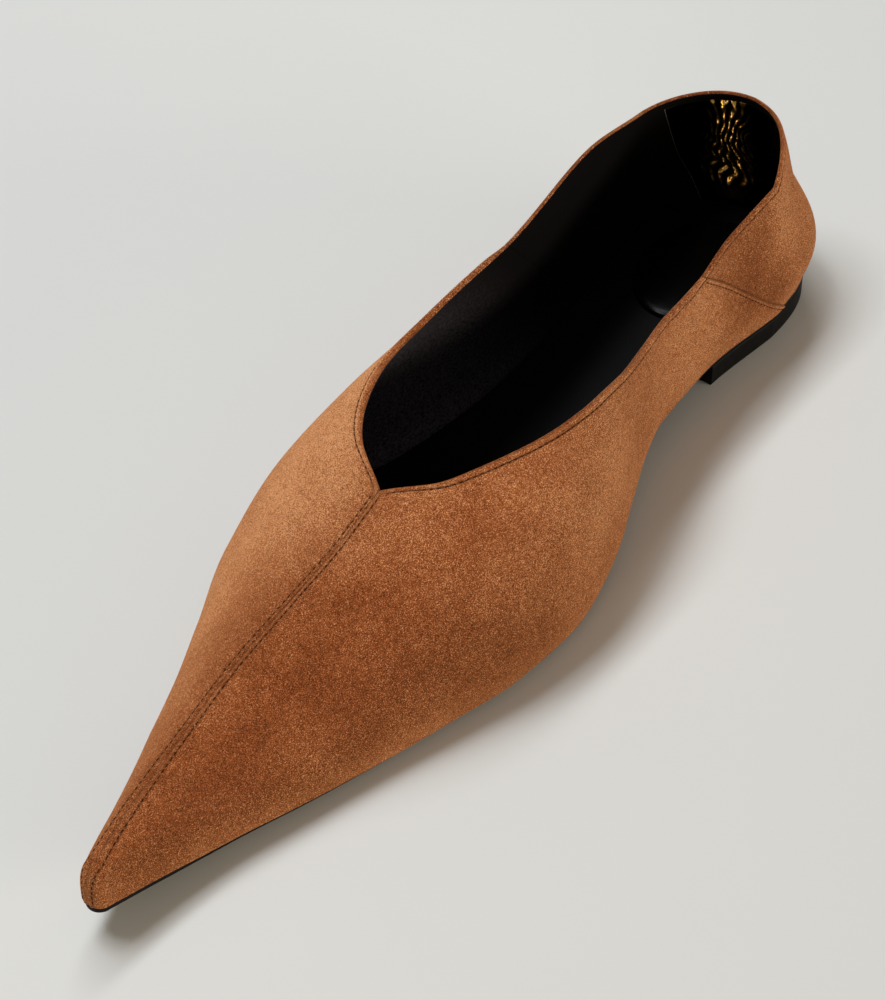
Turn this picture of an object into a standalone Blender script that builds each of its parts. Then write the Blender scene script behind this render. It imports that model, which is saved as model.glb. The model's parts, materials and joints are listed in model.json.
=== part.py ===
"""Pointed suede flat: one left shoe with a V throat, a soft back panel and a low block heel.

Metres, +Z up. The toe points along +X, +Y is the wearer's left (the outer side), and the
floor is z = 0. Sizes below are in millimetres and are turned to metres where meshes are made.
They are measured from the back of the heel, and one empty that carries every piece brings the
origin under the middle of the heel.

The foot cavity follows a last. A place round the last is given by two numbers: s, the station,
and v, the share of the way up from the feather edge (where the wall meets the sole) to the
topline or, ahead of the throat, to the crest. Between the heel centre and the toe centre s is
simply x. Behind the heel centre the sections fan round the heel, and ahead of the toe centre
they fan round the toe.
"""

from typing import NamedTuple

import bmesh
import bpy
import numpy as np

MM = 0.001
LEFT, RIGHT = 1, -1

# Stations, in millimetres along the shoe
HEEL_BACK = -30.0  # station of the back centre line
HEEL_CENTRE = 30.0  # the heel sections fan about this x
BREAST = 55.0  # front face of the heel block
THROAT = 177.0  # point of the V
TOE_CENTRE = 285.7  # the toe sections fan about this x
TOE_FRONT = 289.7  # station of the toe's front line

# Plan of the last
HEEL_REACH = 28.2  # from the heel centre back to the wall
TOE_REACH = 2.2  # from the toe centre forward to the wall
HEEL_POWER = 2.7  # 2 is an ellipse, more is squarer
RIM_POWER = 2.1  # the heel again, at the topline
TOE_POWER = 2.0

# Walls, layers and clearances
WALL = 1.8  # lined vamp
PANEL_WALL = 1.1  # soft back panel, one step lower than the vamp that laps over it
GAP = 0.3
INSOLE_INSET = 0.5  # inside the wall
INSOLE_THICK = 3.0
PAD_THICK = 1.0
OUTSOLE_THICK = 2.3
EDGE_ROUND = 0.7

# How the wall swells over the feather edge and how the soft collar leans in
SWELL = 2.0
SWELL_RISE = 6.0
SWELL_FULL_WIDTH = 15.0  # narrower sections swell less
LEAN_RISE = 55.0  # height at which the full lean is reached
BACK_LEAN = 7.4
BACK_WAVE = 1.8  # the soft back panel bulges low down and hollows under the rim
BACK_WAVE_RISE = 42.0  # height of one bulge and one hollow
RIDGE_POWER = 1.5  # above 1 the crest's sideways shift gathers near the top of the section

# Slanting seam where the vamp laps over the back panel
SEAM_LOW = {LEFT: 23.0, RIGHT: 50.0}  # station at the feather edge
SEAM_TOP = {LEFT: 63.7, RIGHT: 97.0}  # station at the topline
SEAM_BEND = 0.75
SEAM_HALF = 0.4  # half the width of the step in the wall

# Oval pad under the heel of the foot
PAD_CENTRE = (31.5, -3.0)
PAD_RADII = (21.5, 16.0)

# Mesh density
BACK_STATIONS = 13
SIDE_STATIONS = 15
VAMP_STATIONS = 14
TOE_STATIONS = 5
RISE_STEPS = 13
RISE_GRADING = 1.5  # above 1 the rows crowd towards the feather edge
ACROSS_STEPS = 4
SOLE_STATIONS = 48
HEEL_STATIONS = 24
PAD_SIDES = 48
WELD_DISTANCE = 0.01
SHARP_ANGLE = 50.0  # degrees; edges sharper than this are rounded or stay crisp


class Section(NamedTuple):
    """One section of the last, in millimetres.

    x: place along the shoe. centre: sideways place of the middle line. left, right: half widths
    at the feather edge. crest: height of the crest over the feather edge. ridge: sideways shift
    of the crest. power: 2 is an ellipse, less is more peaked. lean_left, lean_right: how far the
    wall leans in at LEAN_RISE.
    """

    x: float
    centre: float
    left: float
    right: float
    crest: float
    ridge: float
    power: float
    lean_left: float
    lean_right: float


class Topline(NamedTuple):
    """Angle in degrees round the section, from feather edge (0) to crest (90), of the topline."""

    s: float
    left: float
    right: float


class Feather(NamedTuple):
    """Feather edge, in millimetres.

    x: place along the shoe. height: over the floor. inset: how far the edge of the sole stands
    back under the wall.
    """

    x: float
    height: float
    inset: float


class Finish(NamedTuple):
    """Name, linear colour and roughness of one material."""

    name: str
    colour: tuple
    roughness: float


TAN_SUEDE = Finish("tan_suede", (0.30, 0.12, 0.045), 0.9)
BLACK_SOCK = Finish("black_sock", (0.006, 0.006, 0.007), 0.6)
BLACK_PATENT = Finish("black_patent", (0.004, 0.004, 0.004), 0.12)
BLACK_SOLE = Finish("black_sole", (0.012, 0.011, 0.011), 0.5)
BLACK_HEEL = Finish("black_heel", (0.014, 0.013, 0.013), 0.45)

SECTIONS = (
    Section(30.0, -2.4, 22.7, 23.8, 79.1, 0.0, 1.93, 2.7, -1.6),
    Section(60.0, -2.0, 18.8, 21.5, 88.8, 0.3, 1.95, 0.5, -3.0),
    Section(80.0, -1.4, 18.9, 20.9, 87.9, 0.5, 2.00, 0.0, -2.0),
    Section(95.0, -0.9, 22.0, 22.0, 86.1, 0.7, 2.05, 0.0, -0.5),
    Section(112.0, -0.4, 28.0, 25.1, 80.5, 0.9, 2.10, 0.0, 0.0),
    Section(130.0, 0.0, 34.4, 30.2, 71.7, 1.0, 2.15, 0.0, 0.0),
    Section(150.0, 0.0, 37.9, 37.0, 62.1, 1.2, 2.19, 0.0, 0.0),
    Section(170.0, 0.0, 36.4, 40.2, 52.8, 1.3, 2.10, 0.0, 0.0),
    Section(190.0, 0.0, 31.3, 37.1, 44.3, 0.8, 1.90, 0.0, 0.0),
    Section(210.0, 0.1, 25.5, 29.1, 35.9, -1.7, 1.70, 0.0, 0.0),
    Section(230.5, 0.4, 19.2, 20.4, 28.2, -3.4, 1.62, 0.0, 0.0),
    Section(251.2, 0.9, 12.3, 13.0, 21.7, -2.8, 1.62, 0.0, 0.0),
    Section(270.3, 1.7, 6.7, 6.6, 17.1, -1.2, 1.70, 0.0, 0.0),
    Section(285.7, 2.7, 2.3, 2.1, 11.9, 0.1, 2.20, 0.0, 0.0),
)

TOPLINE = (
    Topline(-30.0, 40.4, 40.4),
    Topline(0.0, 38.8, 38.8),
    Topline(30.0, 33.6, 38.0),
    Topline(50.0, 28.4, 37.6),
    Topline(65.0, 25.0, 37.0),
    Topline(80.0, 25.6, 37.0),
    Topline(95.0, 28.6, 38.0),
    Topline(110.0, 35.0, 41.4),
    Topline(125.0, 44.8, 46.8),
    Topline(140.0, 54.2, 54.2),
    Topline(150.0, 61.0, 59.6),
    Topline(160.0, 68.4, 66.4),
    Topline(168.0, 75.4, 74.2),
    Topline(177.0, 90.0, 90.0),
)

FEATHER = (
    Feather(0.0, 9.5, 0.5),
    Feather(30.0, 9.5, 1.2),
    Feather(58.0, 9.5, 0.9),
    Feather(78.0, 8.7, 3.4),
    Feather(108.0, 5.8, 3.8),
    Feather(140.0, 2.6, 2.6),
    Feather(198.0, 2.6, 1.9),
    Feather(251.2, 5.8, 1.5),
    Feather(287.6, 11.6, 1.1),
)


def smooth(rows, column, x):
    """Cubic through one column of a table, level wherever neighbouring rows turn back."""
    knots = np.array([row[0] for row in rows])
    values = np.array([getattr(row, column) for row in rows])
    steps = np.diff(knots)
    slopes = np.diff(values) / steps
    before, after = slopes[:-1], slopes[1:]
    same_way = before * after > 0
    mean = 2 * before * after / np.where(same_way, before + after, 1.0)
    tangents = np.concatenate(([slopes[0]], np.where(same_way, mean, 0.0), [slopes[-1]]))
    x = np.clip(x, knots[0], knots[-1])
    at = np.clip(np.searchsorted(knots, x) - 1, 0, len(steps) - 1)
    step = steps[at]
    q = (x - knots[at]) / step
    rise = q * q * (3 - 2 * q)
    return (
        values[at] * (1 - rise)
        + values[at + 1] * rise
        + step * (tangents[at] * q * (1 - q) ** 2 - tangents[at + 1] * q * q * (1 - q))
    )


def bell(distance, width):
    """Soft hump: one at no distance, and about a third at the width."""
    return np.exp(-((distance / width) ** 2))


def side_column(side, left, right):
    """Name of the column that holds this side's value."""
    return left if side == LEFT else right


def heading(s):
    """Direction in which the section at s faces, in radians: 0 forward, pi/2 sideways, pi back."""
    heel = np.clip((HEEL_CENTRE - s) / (HEEL_CENTRE - HEEL_BACK), 0, 1)
    toe = np.clip((s - TOE_CENTRE) / (TOE_FRONT - TOE_CENTRE), 0, 1)
    return np.pi / 2 * (1 + heel - toe)


def reach(side, s, v=0.0):
    """Distance from the middle line to the last's plan at share v of the way up, along the heading."""
    half = smooth(SECTIONS, side_column(side, "left", "right"), s)
    along, across = np.abs(np.cos(heading(s))), np.abs(np.sin(heading(s)))
    end = np.where(s < HEEL_CENTRE, HEEL_REACH, TOE_REACH)
    power = np.where(s < HEEL_CENTRE, HEEL_POWER + (RIM_POWER - HEEL_POWER) * v, TOE_POWER)
    return ((along / end) ** power + (across / half) ** power) ** (-1 / power)


def plan_point(side, s, distance):
    """x and y of the place at this distance from the middle line."""
    x = np.clip(s, HEEL_CENTRE, TOE_CENTRE) + distance * np.cos(heading(s))
    y = smooth(SECTIONS, "centre", s) + side * distance * np.sin(heading(s))
    return x, y


def last_point(side, s, v):
    """Point of the foot cavity's wall at station s and share v of the way up."""
    power = smooth(SECTIONS, "power", s)
    half = reach(side, s, v)
    angle = v * np.radians(smooth(TOPLINE, side_column(side, "left", "right"), s))
    lift = np.sin(angle) ** (2 / power)
    rise = smooth(SECTIONS, "crest", s) * lift
    clear_of_sole = 1 - bell(rise, SWELL_RISE)
    swell = SWELL * np.minimum(1, half / SWELL_FULL_WIDTH) * clear_of_sole
    backward = np.clip(-np.cos(heading(s)), 0, 1)
    side_lean = smooth(SECTIONS, side_column(side, "lean_left", "lean_right"), s)
    wave = BACK_WAVE * backward * clear_of_sole * np.sin(2 * np.pi * rise / BACK_WAVE_RISE)
    lean = (BACK_LEAN * backward + side_lean * (1 - backward)) * (rise / LEAN_RISE) ** 2
    distance = (half + swell) * np.clip(np.cos(angle), 0, 1) ** (2 / power) + wave - lean
    x, y = plan_point(side, s, distance)
    y = y + smooth(SECTIONS, "ridge", s) * lift**RIDGE_POWER
    return np.stack([x, y, smooth(FEATHER, "height", x) + rise], axis=-1)


def wall_stations(side):
    """Stations of this side's grid lines at the feather edge and at the topline, back to toe."""
    back = np.linspace(0, 1, BACK_STATIONS)
    front = np.linspace(0, 1, SIDE_STATIONS)
    vamp = np.linspace(THROAT, TOE_CENTRE, VAMP_STATIONS)[1:]
    toe = np.linspace(TOE_CENTRE, TOE_FRONT, TOE_STATIONS)[1:]
    lines = []
    for seam in (SEAM_LOW[side], SEAM_TOP[side]):
        behind = HEEL_BACK + (seam - SEAM_HALF - HEEL_BACK) * back
        ahead = seam + SEAM_HALF + (THROAT - seam - SEAM_HALF) * front
        lines.append(np.concatenate([behind, ahead, vamp, toe]))
    return lines


def wall_side(side):
    """Grid of wall points on one side, stations by rows up, and each station's wall thickness."""
    low, top = wall_stations(side)
    v = np.linspace(0, 1, RISE_STEPS + 1) ** RISE_GRADING
    s = low[:, None] + (top - low)[:, None] * v[None, :] ** SEAM_BEND
    grid = last_point(side, s, np.broadcast_to(v, s.shape))
    thick = np.where(np.arange(len(low)) < BACK_STATIONS, PANEL_WALL, WALL)
    return grid, thick


def sole_edge(side, s):
    """How far the edge of the sole stands out past the foot cavity: under the wall, less the inset."""
    return WALL - smooth(FEATHER, "inset", plan_point(side, s, reach(side, s))[0])


def insole_edge(side, s):
    """How far the edge of the insole stands out past the foot cavity: a little inside it."""
    return np.full_like(s, -INSOLE_INSET)


def sheet_grid(first, last, count, edge, lift):
    """Grid across the shoe between the two edges, at the height of the feather edge plus lift."""
    s = np.linspace(first, last, count)
    s = np.union1d(s, np.linspace(TOE_CENTRE, last, TOE_STATIONS)) if last > TOE_CENTRE else s
    outline = [plan_point(side, s, reach(side, s) + edge(side, s)) for side in (LEFT, RIGHT)]
    edges = [np.stack(plan, axis=-1) for plan in outline]
    share = np.linspace(0, 1, ACROSS_STEPS + 1)[None, :, None]
    flat = edges[0][:, None, :] * (1 - share) + edges[1][:, None, :] * share
    height = smooth(FEATHER, "height", flat[..., 0]) + lift
    return np.concatenate([flat, height[..., None]], axis=-1)


def grid_object(name, grid, collection, finish):
    """Open surface object from a grid of points in millimetres, in one finish."""
    rows, columns = grid.shape[:2]
    index = np.arange(rows * columns).reshape(rows, columns)
    corners = (index[:-1, :-1], index[1:, :-1], index[1:, 1:], index[:-1, 1:])
    faces = np.stack([c.ravel() for c in corners], axis=-1)
    mesh = bpy.data.meshes.new(name)
    mesh.from_pydata((grid.reshape(-1, 3) * MM).tolist(), [], faces.tolist())
    obj = bpy.data.objects.new(name, mesh)
    obj.data.materials.append(material(finish))
    collection.objects.link(obj)
    return obj


def weld(obj):
    """Merge points that coincide, and drop the faces that this closes up."""
    edit = bmesh.new()
    edit.from_mesh(obj.data)
    bmesh.ops.remove_doubles(edit, verts=edit.verts, dist=WELD_DISTANCE * MM)
    bmesh.ops.dissolve_degenerate(edit, edges=edit.edges, dist=WELD_DISTANCE * MM)
    edit.to_mesh(obj.data)
    edit.free()
    obj.data.shade_smooth()


def solidify(obj, thickness, offset):
    """Give the open surface a wall: offset 1 is along its normals, -1 is against them."""
    wall = obj.modifiers.new("wall", "SOLIDIFY")
    wall.thickness = thickness * MM
    wall.offset = offset
    return wall


def round_edges(obj):
    """Break the sharp rim of a slab."""
    bevel = obj.modifiers.new("edge_round", "BEVEL")
    bevel.width = EDGE_ROUND * MM
    bevel.segments = 1
    bevel.limit_method = "ANGLE"
    bevel.angle_limit = np.radians(SHARP_ANGLE)


def material(finish):
    """Principled material in one linear colour."""
    made = bpy.data.materials.new(finish.name)
    made.use_nodes = True
    shader = made.node_tree.nodes["Principled BSDF"]
    shader.inputs["Base Color"].default_value = (*finish.colour, 1.0)
    shader.inputs["Roughness"].default_value = finish.roughness
    return made


def build_upper(collection):
    """Hollow upper: both sides in one band round the heel, welded down the front, then given a wall."""
    left, left_thick = wall_side(LEFT)
    right, right_thick = wall_side(RIGHT)
    band = np.concatenate([left[::-1], right[1:]])
    thick = np.concatenate([left_thick[::-1], right_thick[1:]])
    obj = grid_object("upper", band, collection, TAN_SUEDE)
    group = obj.vertex_groups.new(name="wall_thickness")
    rows = band.shape[1]
    for station, wall in enumerate(thick):
        group.add(range(station * rows, (station + 1) * rows), wall / WALL, "REPLACE")
    weld(obj)
    solidify(obj, WALL, 1).vertex_group = group.name


def build_insole(collection):
    """Slab that closes the cavity underneath, just inside the wall."""
    grid = sheet_grid(HEEL_BACK, TOE_FRONT, SOLE_STATIONS, insole_edge, 0.0)
    obj = grid_object("insole", grid, collection, BLACK_SOCK)
    weld(obj)
    solidify(obj, INSOLE_THICK, -1)


def build_heel_pad(collection):
    """Oval pad that lies on the insole under the heel of the foot."""
    base = FEATHER[0].height + INSOLE_THICK + GAP
    bpy.ops.mesh.primitive_cylinder_add(
        vertices=PAD_SIDES,
        radius=1.0,
        depth=PAD_THICK * MM,
        location=(PAD_CENTRE[0] * MM, PAD_CENTRE[1] * MM, (base + PAD_THICK / 2) * MM),
    )
    obj = bpy.context.object
    obj.name = obj.data.name = "heel_pad"
    obj.scale = (PAD_RADII[0] * MM, PAD_RADII[1] * MM, 1.0)
    bpy.ops.object.transform_apply(location=False, rotation=False, scale=True)
    for holder in obj.users_collection:
        holder.objects.unlink(obj)
    collection.objects.link(obj)
    obj.data.materials.append(material(BLACK_PATENT))
    obj.data.shade_smooth()
    obj.data.set_sharp_from_angle(angle=np.radians(SHARP_ANGLE))


def build_outsole(collection):
    """Thin sole with its arch and toe spring, level under the heel and the ball of the foot."""
    grid = sheet_grid(HEEL_BACK, TOE_FRONT, SOLE_STATIONS, sole_edge, -GAP)
    obj = grid_object("outsole", grid, collection, BLACK_SOLE)
    weld(obj)
    solidify(obj, OUTSOLE_THICK, 1)
    round_edges(obj)


def build_heel(collection):
    """Low block under the heel seat, down to the floor."""
    drop = 2 * GAP + OUTSOLE_THICK
    grid = sheet_grid(HEEL_BACK, BREAST, HEEL_STATIONS, sole_edge, -drop)
    obj = grid_object("heel", grid, collection, BLACK_HEEL)
    weld(obj)
    solidify(obj, FEATHER[0].height - drop, 1)
    round_edges(obj)


def carry_on_empty(collection):
    """Parent every piece to one empty, placed so that the origin lies under the middle of the heel."""
    pieces = list(collection.objects)
    carrier = bpy.data.objects.new("carrier", None)
    carrier.location = (-HEEL_CENTRE * MM, -SECTIONS[0].centre * MM, 0.0)
    collection.objects.link(carrier)
    for piece in pieces:
        piece.parent = carrier


def main():
    """Clear the scene, then build every piece into one collection."""
    for obj in list(bpy.data.objects):
        bpy.data.objects.remove(obj, do_unlink=True)
    collection = bpy.data.collections.new("pointed_flat")
    bpy.context.scene.collection.children.link(collection)
    build_upper(collection)
    build_insole(collection)
    build_heel_pad(collection)
    build_outsole(collection)
    build_heel(collection)
    carry_on_empty(collection)


main()
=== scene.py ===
"""Looks of the pointed suede flat, one left shoe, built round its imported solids.

Lengths are millimetres measured as in the solids: x runs from the back of the heel to the toe, y
to the wearer's left, z up from the floor. A finished mesh is moved to the row frame, in metres.

Every piece is drawn from one last. A place on the last's wall has two numbers: s, the station, and
v, the share of the way up from the feather edge (where the wall meets the sole) to the topline or,
ahead of the throat, to the crest.
"""

import json
import logging
from collections.abc import Callable
from dataclasses import dataclass, field
from enum import Enum
from typing import Any, NamedTuple

import bmesh
import bpy
import numpy as np
from mathutils import Matrix
from numpy.typing import NDArray

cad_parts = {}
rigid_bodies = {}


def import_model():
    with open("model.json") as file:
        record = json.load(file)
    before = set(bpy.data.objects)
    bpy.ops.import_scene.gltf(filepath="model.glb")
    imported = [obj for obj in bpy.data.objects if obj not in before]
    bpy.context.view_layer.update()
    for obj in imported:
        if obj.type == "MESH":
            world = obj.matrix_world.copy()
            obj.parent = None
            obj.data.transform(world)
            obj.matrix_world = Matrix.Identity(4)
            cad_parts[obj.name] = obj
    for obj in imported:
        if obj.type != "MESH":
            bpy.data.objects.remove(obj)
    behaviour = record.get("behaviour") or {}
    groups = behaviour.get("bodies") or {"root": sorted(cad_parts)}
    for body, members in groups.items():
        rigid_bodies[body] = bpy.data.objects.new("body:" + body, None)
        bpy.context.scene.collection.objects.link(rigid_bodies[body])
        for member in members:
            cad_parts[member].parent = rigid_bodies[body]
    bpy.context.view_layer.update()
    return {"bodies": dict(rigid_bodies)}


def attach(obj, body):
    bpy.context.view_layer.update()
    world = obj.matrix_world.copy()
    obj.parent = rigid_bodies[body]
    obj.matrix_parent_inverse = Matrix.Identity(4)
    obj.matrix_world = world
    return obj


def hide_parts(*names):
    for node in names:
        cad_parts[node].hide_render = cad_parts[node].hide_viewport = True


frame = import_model()

Array = NDArray[np.float64]
MM = 0.001
ROOT = next(iter(frame["bodies"]))
WELD_DISTANCE = 0.004  # millimetres
SLIVER = 0.001  # millimetres; shorter edges are taken out
TINY = 1e-9
STRAIGHT_WAVE = np.pi / 10  # scale at which a Wave texture's bands along an axis are one unit wide
DIAGONAL_WAVE = np.pi / 5 / np.sqrt(3)  # the same for diagonal bands
log = logging.getLogger("pointed_flat")


class Side(Enum):
    """The wearer's two sides. The value is the sign of y."""

    LEFT = 1
    RIGHT = -1


class Slot(Enum):
    """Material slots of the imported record."""

    SUEDE = "tan_suede"
    SOCK = "black_sock"
    PATENT = "black_patent"
    SOLE = "black_sole"
    HEEL = "black_heel"


class Section(NamedTuple):
    """One section of the last: middle line, half widths, crest, its sideways shift, shape, leans."""

    x: float
    centre: float
    left: float
    right: float
    crest: float
    ridge: float
    power: float
    lean_left: float
    lean_right: float


class Topline(NamedTuple):
    """Angle in degrees round the section, from feather edge (0) to crest (90), of the topline."""

    s: float
    left: float
    right: float


class Feather(NamedTuple):
    """Feather edge: its height over the floor, and how far the sole's edge stands back under the wall."""

    x: float
    height: float
    inset: float


SECTIONS = (
    Section(30.0, -2.4, 22.7, 23.8, 79.1, 0.0, 1.93, 2.7, -1.6),
    Section(60.0, -2.0, 18.8, 21.5, 88.8, 0.3, 1.95, 0.5, -3.0),
    Section(80.0, -1.4, 18.9, 20.9, 87.9, 0.5, 2.00, 0.0, -2.0),
    Section(95.0, -0.9, 22.0, 22.0, 86.1, 0.7, 2.05, 0.0, -0.5),
    Section(112.0, -0.4, 28.0, 25.1, 80.5, 0.9, 2.10, 0.0, 0.0),
    Section(130.0, 0.0, 34.4, 30.2, 71.7, 1.0, 2.15, 0.0, 0.0),
    Section(150.0, 0.0, 37.9, 37.0, 62.1, 1.2, 2.19, 0.0, 0.0),
    Section(170.0, 0.0, 36.4, 40.2, 52.8, 1.3, 2.10, 0.0, 0.0),
    Section(190.0, 0.0, 31.3, 37.1, 44.3, 0.8, 1.90, 0.0, 0.0),
    Section(210.0, 0.1, 25.5, 29.1, 35.9, -1.7, 1.70, 0.0, 0.0),
    Section(230.5, 0.4, 19.2, 20.4, 28.2, -3.4, 1.62, 0.0, 0.0),
    Section(251.2, 0.9, 12.3, 13.0, 21.7, -2.8, 1.62, 0.0, 0.0),
    Section(270.3, 1.7, 6.7, 6.6, 17.1, -1.2, 1.70, 0.0, 0.0),
    Section(285.7, 2.7, 2.3, 2.1, 11.9, 0.1, 2.20, 0.0, 0.0),
)

TOPLINE = (
    Topline(-30.0, 40.4, 40.4),
    Topline(0.0, 38.8, 38.8),
    Topline(30.0, 33.6, 38.0),
    Topline(50.0, 28.4, 37.6),
    Topline(65.0, 25.0, 37.0),
    Topline(80.0, 25.6, 37.0),
    Topline(95.0, 28.6, 38.0),
    Topline(110.0, 35.0, 41.4),
    Topline(125.0, 44.8, 46.8),
    Topline(140.0, 54.2, 54.2),
    Topline(150.0, 61.0, 59.6),
    Topline(160.0, 68.4, 66.4),
    Topline(168.0, 75.4, 74.2),
    Topline(177.0, 90.0, 90.0),
)

FEATHER = (
    Feather(0.0, 9.5, 0.5),
    Feather(30.0, 9.5, 1.2),
    Feather(58.0, 9.5, 0.9),
    Feather(78.0, 8.7, 3.4),
    Feather(108.0, 5.8, 3.8),
    Feather(140.0, 2.6, 2.6),
    Feather(198.0, 2.6, 1.9),
    Feather(251.2, 5.8, 1.5),
    Feather(287.6, 11.6, 1.1),
)


def smooth(rows: tuple[NamedTuple, ...], column: str, x: Array) -> Array:
    """Cubic through one column of a table, level wherever neighbouring rows turn back.

    Args:
        rows: Table whose first column holds the places.
        column: Name of the column to read.
        x: Places to read it at.

    Returns:
        The column's value at each place.
    """
    knots = np.array([row[0] for row in rows])
    values = np.array([getattr(row, column) for row in rows])
    steps = np.diff(knots)
    slopes = np.diff(values) / steps
    before, after = slopes[:-1], slopes[1:]
    same_way = before * after > 0
    mean = 2 * before * after / np.where(same_way, before + after, 1.0)
    tangents = np.concatenate(([slopes[0]], np.where(same_way, mean, 0.0), [slopes[-1]]))
    x = np.clip(x, knots[0], knots[-1])
    at = np.clip(np.searchsorted(knots, x) - 1, 0, len(steps) - 1)
    step = steps[at]
    q = (x - knots[at]) / step
    rise = q * q * (3 - 2 * q)
    bend = tangents[at] * q * (1 - q) ** 2 - tangents[at + 1] * q * q * (1 - q)
    return values[at] * (1 - rise) + values[at + 1] * rise + step * bend


def bell(distance: Array, width: float) -> Array:
    """Soft hump: one at no distance, and about a third at the width."""
    return np.exp(-((distance / width) ** 2))


def ease(x: Array, first: float, last: float) -> Array:
    """Zero before first, one after last, and a smooth S between."""
    q = np.clip((x - first) / (last - first), 0, 1)
    return q * q * (3 - 2 * q)


def unit(vectors: Array) -> Array:
    """Vectors brought to length one."""
    return vectors / np.maximum(np.linalg.norm(vectors, axis=-1, keepdims=True), TINY)


def linear(hex_colour: str) -> tuple[float, float, float, float]:
    """Turn an sRGB hex colour to the linear RGBA that a shader takes.

    Args:
        hex_colour: Six digits after a hash sign.

    Returns:
        Linear red, green and blue, and an alpha of one.
    """
    srgb = np.array([int(hex_colour[i:i + 2], 16) / 255 for i in (1, 3, 5)])
    rgb = np.where(srgb <= 0.04045, srgb / 12.92, ((srgb + 0.055) / 1.055) ** 2.4)
    return (*rgb.tolist(), 1.0)


@dataclass(frozen=True)
class LastShape:
    """The foot cavity, with the sizes of the solids."""

    heel_back: float = -30.0  # station of the back centre line
    heel_centre: float = 30.0  # the heel sections fan about this x
    throat: float = 177.0  # point of the V
    toe_centre: float = 285.7  # the toe sections fan about this x
    toe_front: float = 289.7  # station of the toe's front line
    heel_reach: float = 28.2
    toe_reach: float = 2.2
    heel_power: float = 2.7  # 2 is an ellipse, more is squarer
    rim_power: float = 2.1  # the heel again, at the topline
    toe_power: float = 2.0
    wall: float = 1.8  # lined vamp
    panel_wall: float = 1.1  # soft back panel
    swell: float = 2.0
    swell_rise: float = 6.0
    swell_full_width: float = 15.0
    lean_rise: float = 55.0
    back_lean: float = 7.4
    back_wave: float = 1.8
    back_wave_rise: float = 42.0
    ridge_power: float = 1.5

    def heading(self, s: Array) -> Array:
        """Direction in which the section at s faces: it turns evenly round the heel and the toe.

        Args:
            s: Stations.

        Returns:
            Angles: nought forward, half of pi sideways, pi back.
        """
        heel = np.clip((self.heel_centre - s) / (self.heel_centre - self.heel_back), 0, 1)
        toe = np.clip((s - self.toe_centre) / (self.toe_front - self.toe_centre), 0, 1)
        return np.pi / 2 * (1 + heel - toe)

    def reach(self, side: Side, s: Array, v: Array | float = 0.0) -> Array:
        """Plan of the last: straight across from the middle line along the shoe, and a superellipse
        round the heel and the toe, whose power at the heel changes from feather edge to topline.

        Args:
            side: Side of the shoe.
            s: Stations.
            v: Share of the way up.

        Returns:
            Distances from the middle line.
        """
        half = smooth(SECTIONS, side.name.lower(), s)
        along, across = np.abs(np.cos(self.heading(s))), np.abs(np.sin(self.heading(s)))
        end = np.where(s < self.heel_centre, self.heel_reach, self.toe_reach)
        heel_power = self.heel_power + (self.rim_power - self.heel_power) * v
        power = np.where(s < self.heel_centre, heel_power, self.toe_power)
        return ((along / end) ** power + (across / half) ** power) ** (-1 / power)

    def plan_point(self, side: Side, s: Array, distance: Array) -> Array:
        """Place in plan, along the heading of its station.

        Args:
            side: Side of the shoe.
            s: Stations.
            distance: Distances from the middle line.

        Returns:
            Places, with a last axis of x and y.
        """
        x = np.clip(s, self.heel_centre, self.toe_centre) + distance * np.cos(self.heading(s))
        y = smooth(SECTIONS, "centre", s) + side.value * distance * np.sin(self.heading(s))
        return np.stack([x, y], axis=-1)

    def seat(self, x: Array) -> Array:
        """Height of the feather edge at x."""
        return smooth(FEATHER, "height", x)

    def sole_edge(self, side: Side, s: Array) -> Array:
        """How far the edge of the sole stands out past the cavity, under the vamp's wall."""
        feather = self.plan_point(side, s, self.reach(side, s))
        return self.wall - smooth(FEATHER, "inset", feather[..., 0])

    def point(self, side: Side, s: Array, v: Array) -> Array:
        """Point of the cavity's wall.

        A superellipse stands on the half width and the crest height. It swells a little just
        over the feather edge, the heel bulges low down and hollows under the rim by a sine of
        the height, and the collar leans in with the square of the height.

        Args:
            side: Side of the shoe.
            s: Stations.
            v: Shares of the way up.

        Returns:
            Points, with a last axis of x, y and z.
        """
        name = side.name.lower()
        power = smooth(SECTIONS, "power", s)
        half = self.reach(side, s, v)
        angle = v * np.radians(smooth(TOPLINE, name, s))
        lift = np.sin(angle) ** (2 / power)
        rise = smooth(SECTIONS, "crest", s) * lift
        clear_of_sole = 1 - bell(rise, self.swell_rise)
        swell = self.swell * np.minimum(1, half / self.swell_full_width) * clear_of_sole
        backward = np.clip(-np.cos(self.heading(s)), 0, 1)
        wave = self.back_wave * backward * np.sin(2 * np.pi * rise / self.back_wave_rise)
        side_lean = smooth(SECTIONS, f"lean_{name}", s) * (1 - backward)
        lean = (self.back_lean * backward + side_lean) * (rise / self.lean_rise) ** 2
        round_share = np.clip(np.cos(angle), 0, 1) ** (2 / power)
        distance = (half + swell) * round_share + wave * clear_of_sole - lean
        plan = self.plan_point(side, s, distance)
        shift = smooth(SECTIONS, "ridge", s) * lift**self.ridge_power
        height = self.seat(plan[..., 0]) + rise
        return np.stack([plan[..., 0], plan[..., 1] + shift, height], axis=-1)

    def to_row(self, points: Array) -> Array:
        """Points in millimetres of the shoe, moved to the row frame in metres."""
        return (points - np.array([self.heel_centre, SECTIONS[0].centre, 0.0])) * MM


@dataclass(frozen=True)
class LapSeam:
    """Slanting line where the vamp's folded edge laps over the back panel, by its stations."""

    low: dict[Side, float] = field(default_factory=lambda: {Side.LEFT: 23.0, Side.RIGHT: 50.0})
    top: dict[Side, float] = field(default_factory=lambda: {Side.LEFT: 63.7, Side.RIGHT: 97.0})
    bend: float = 0.75


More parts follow.
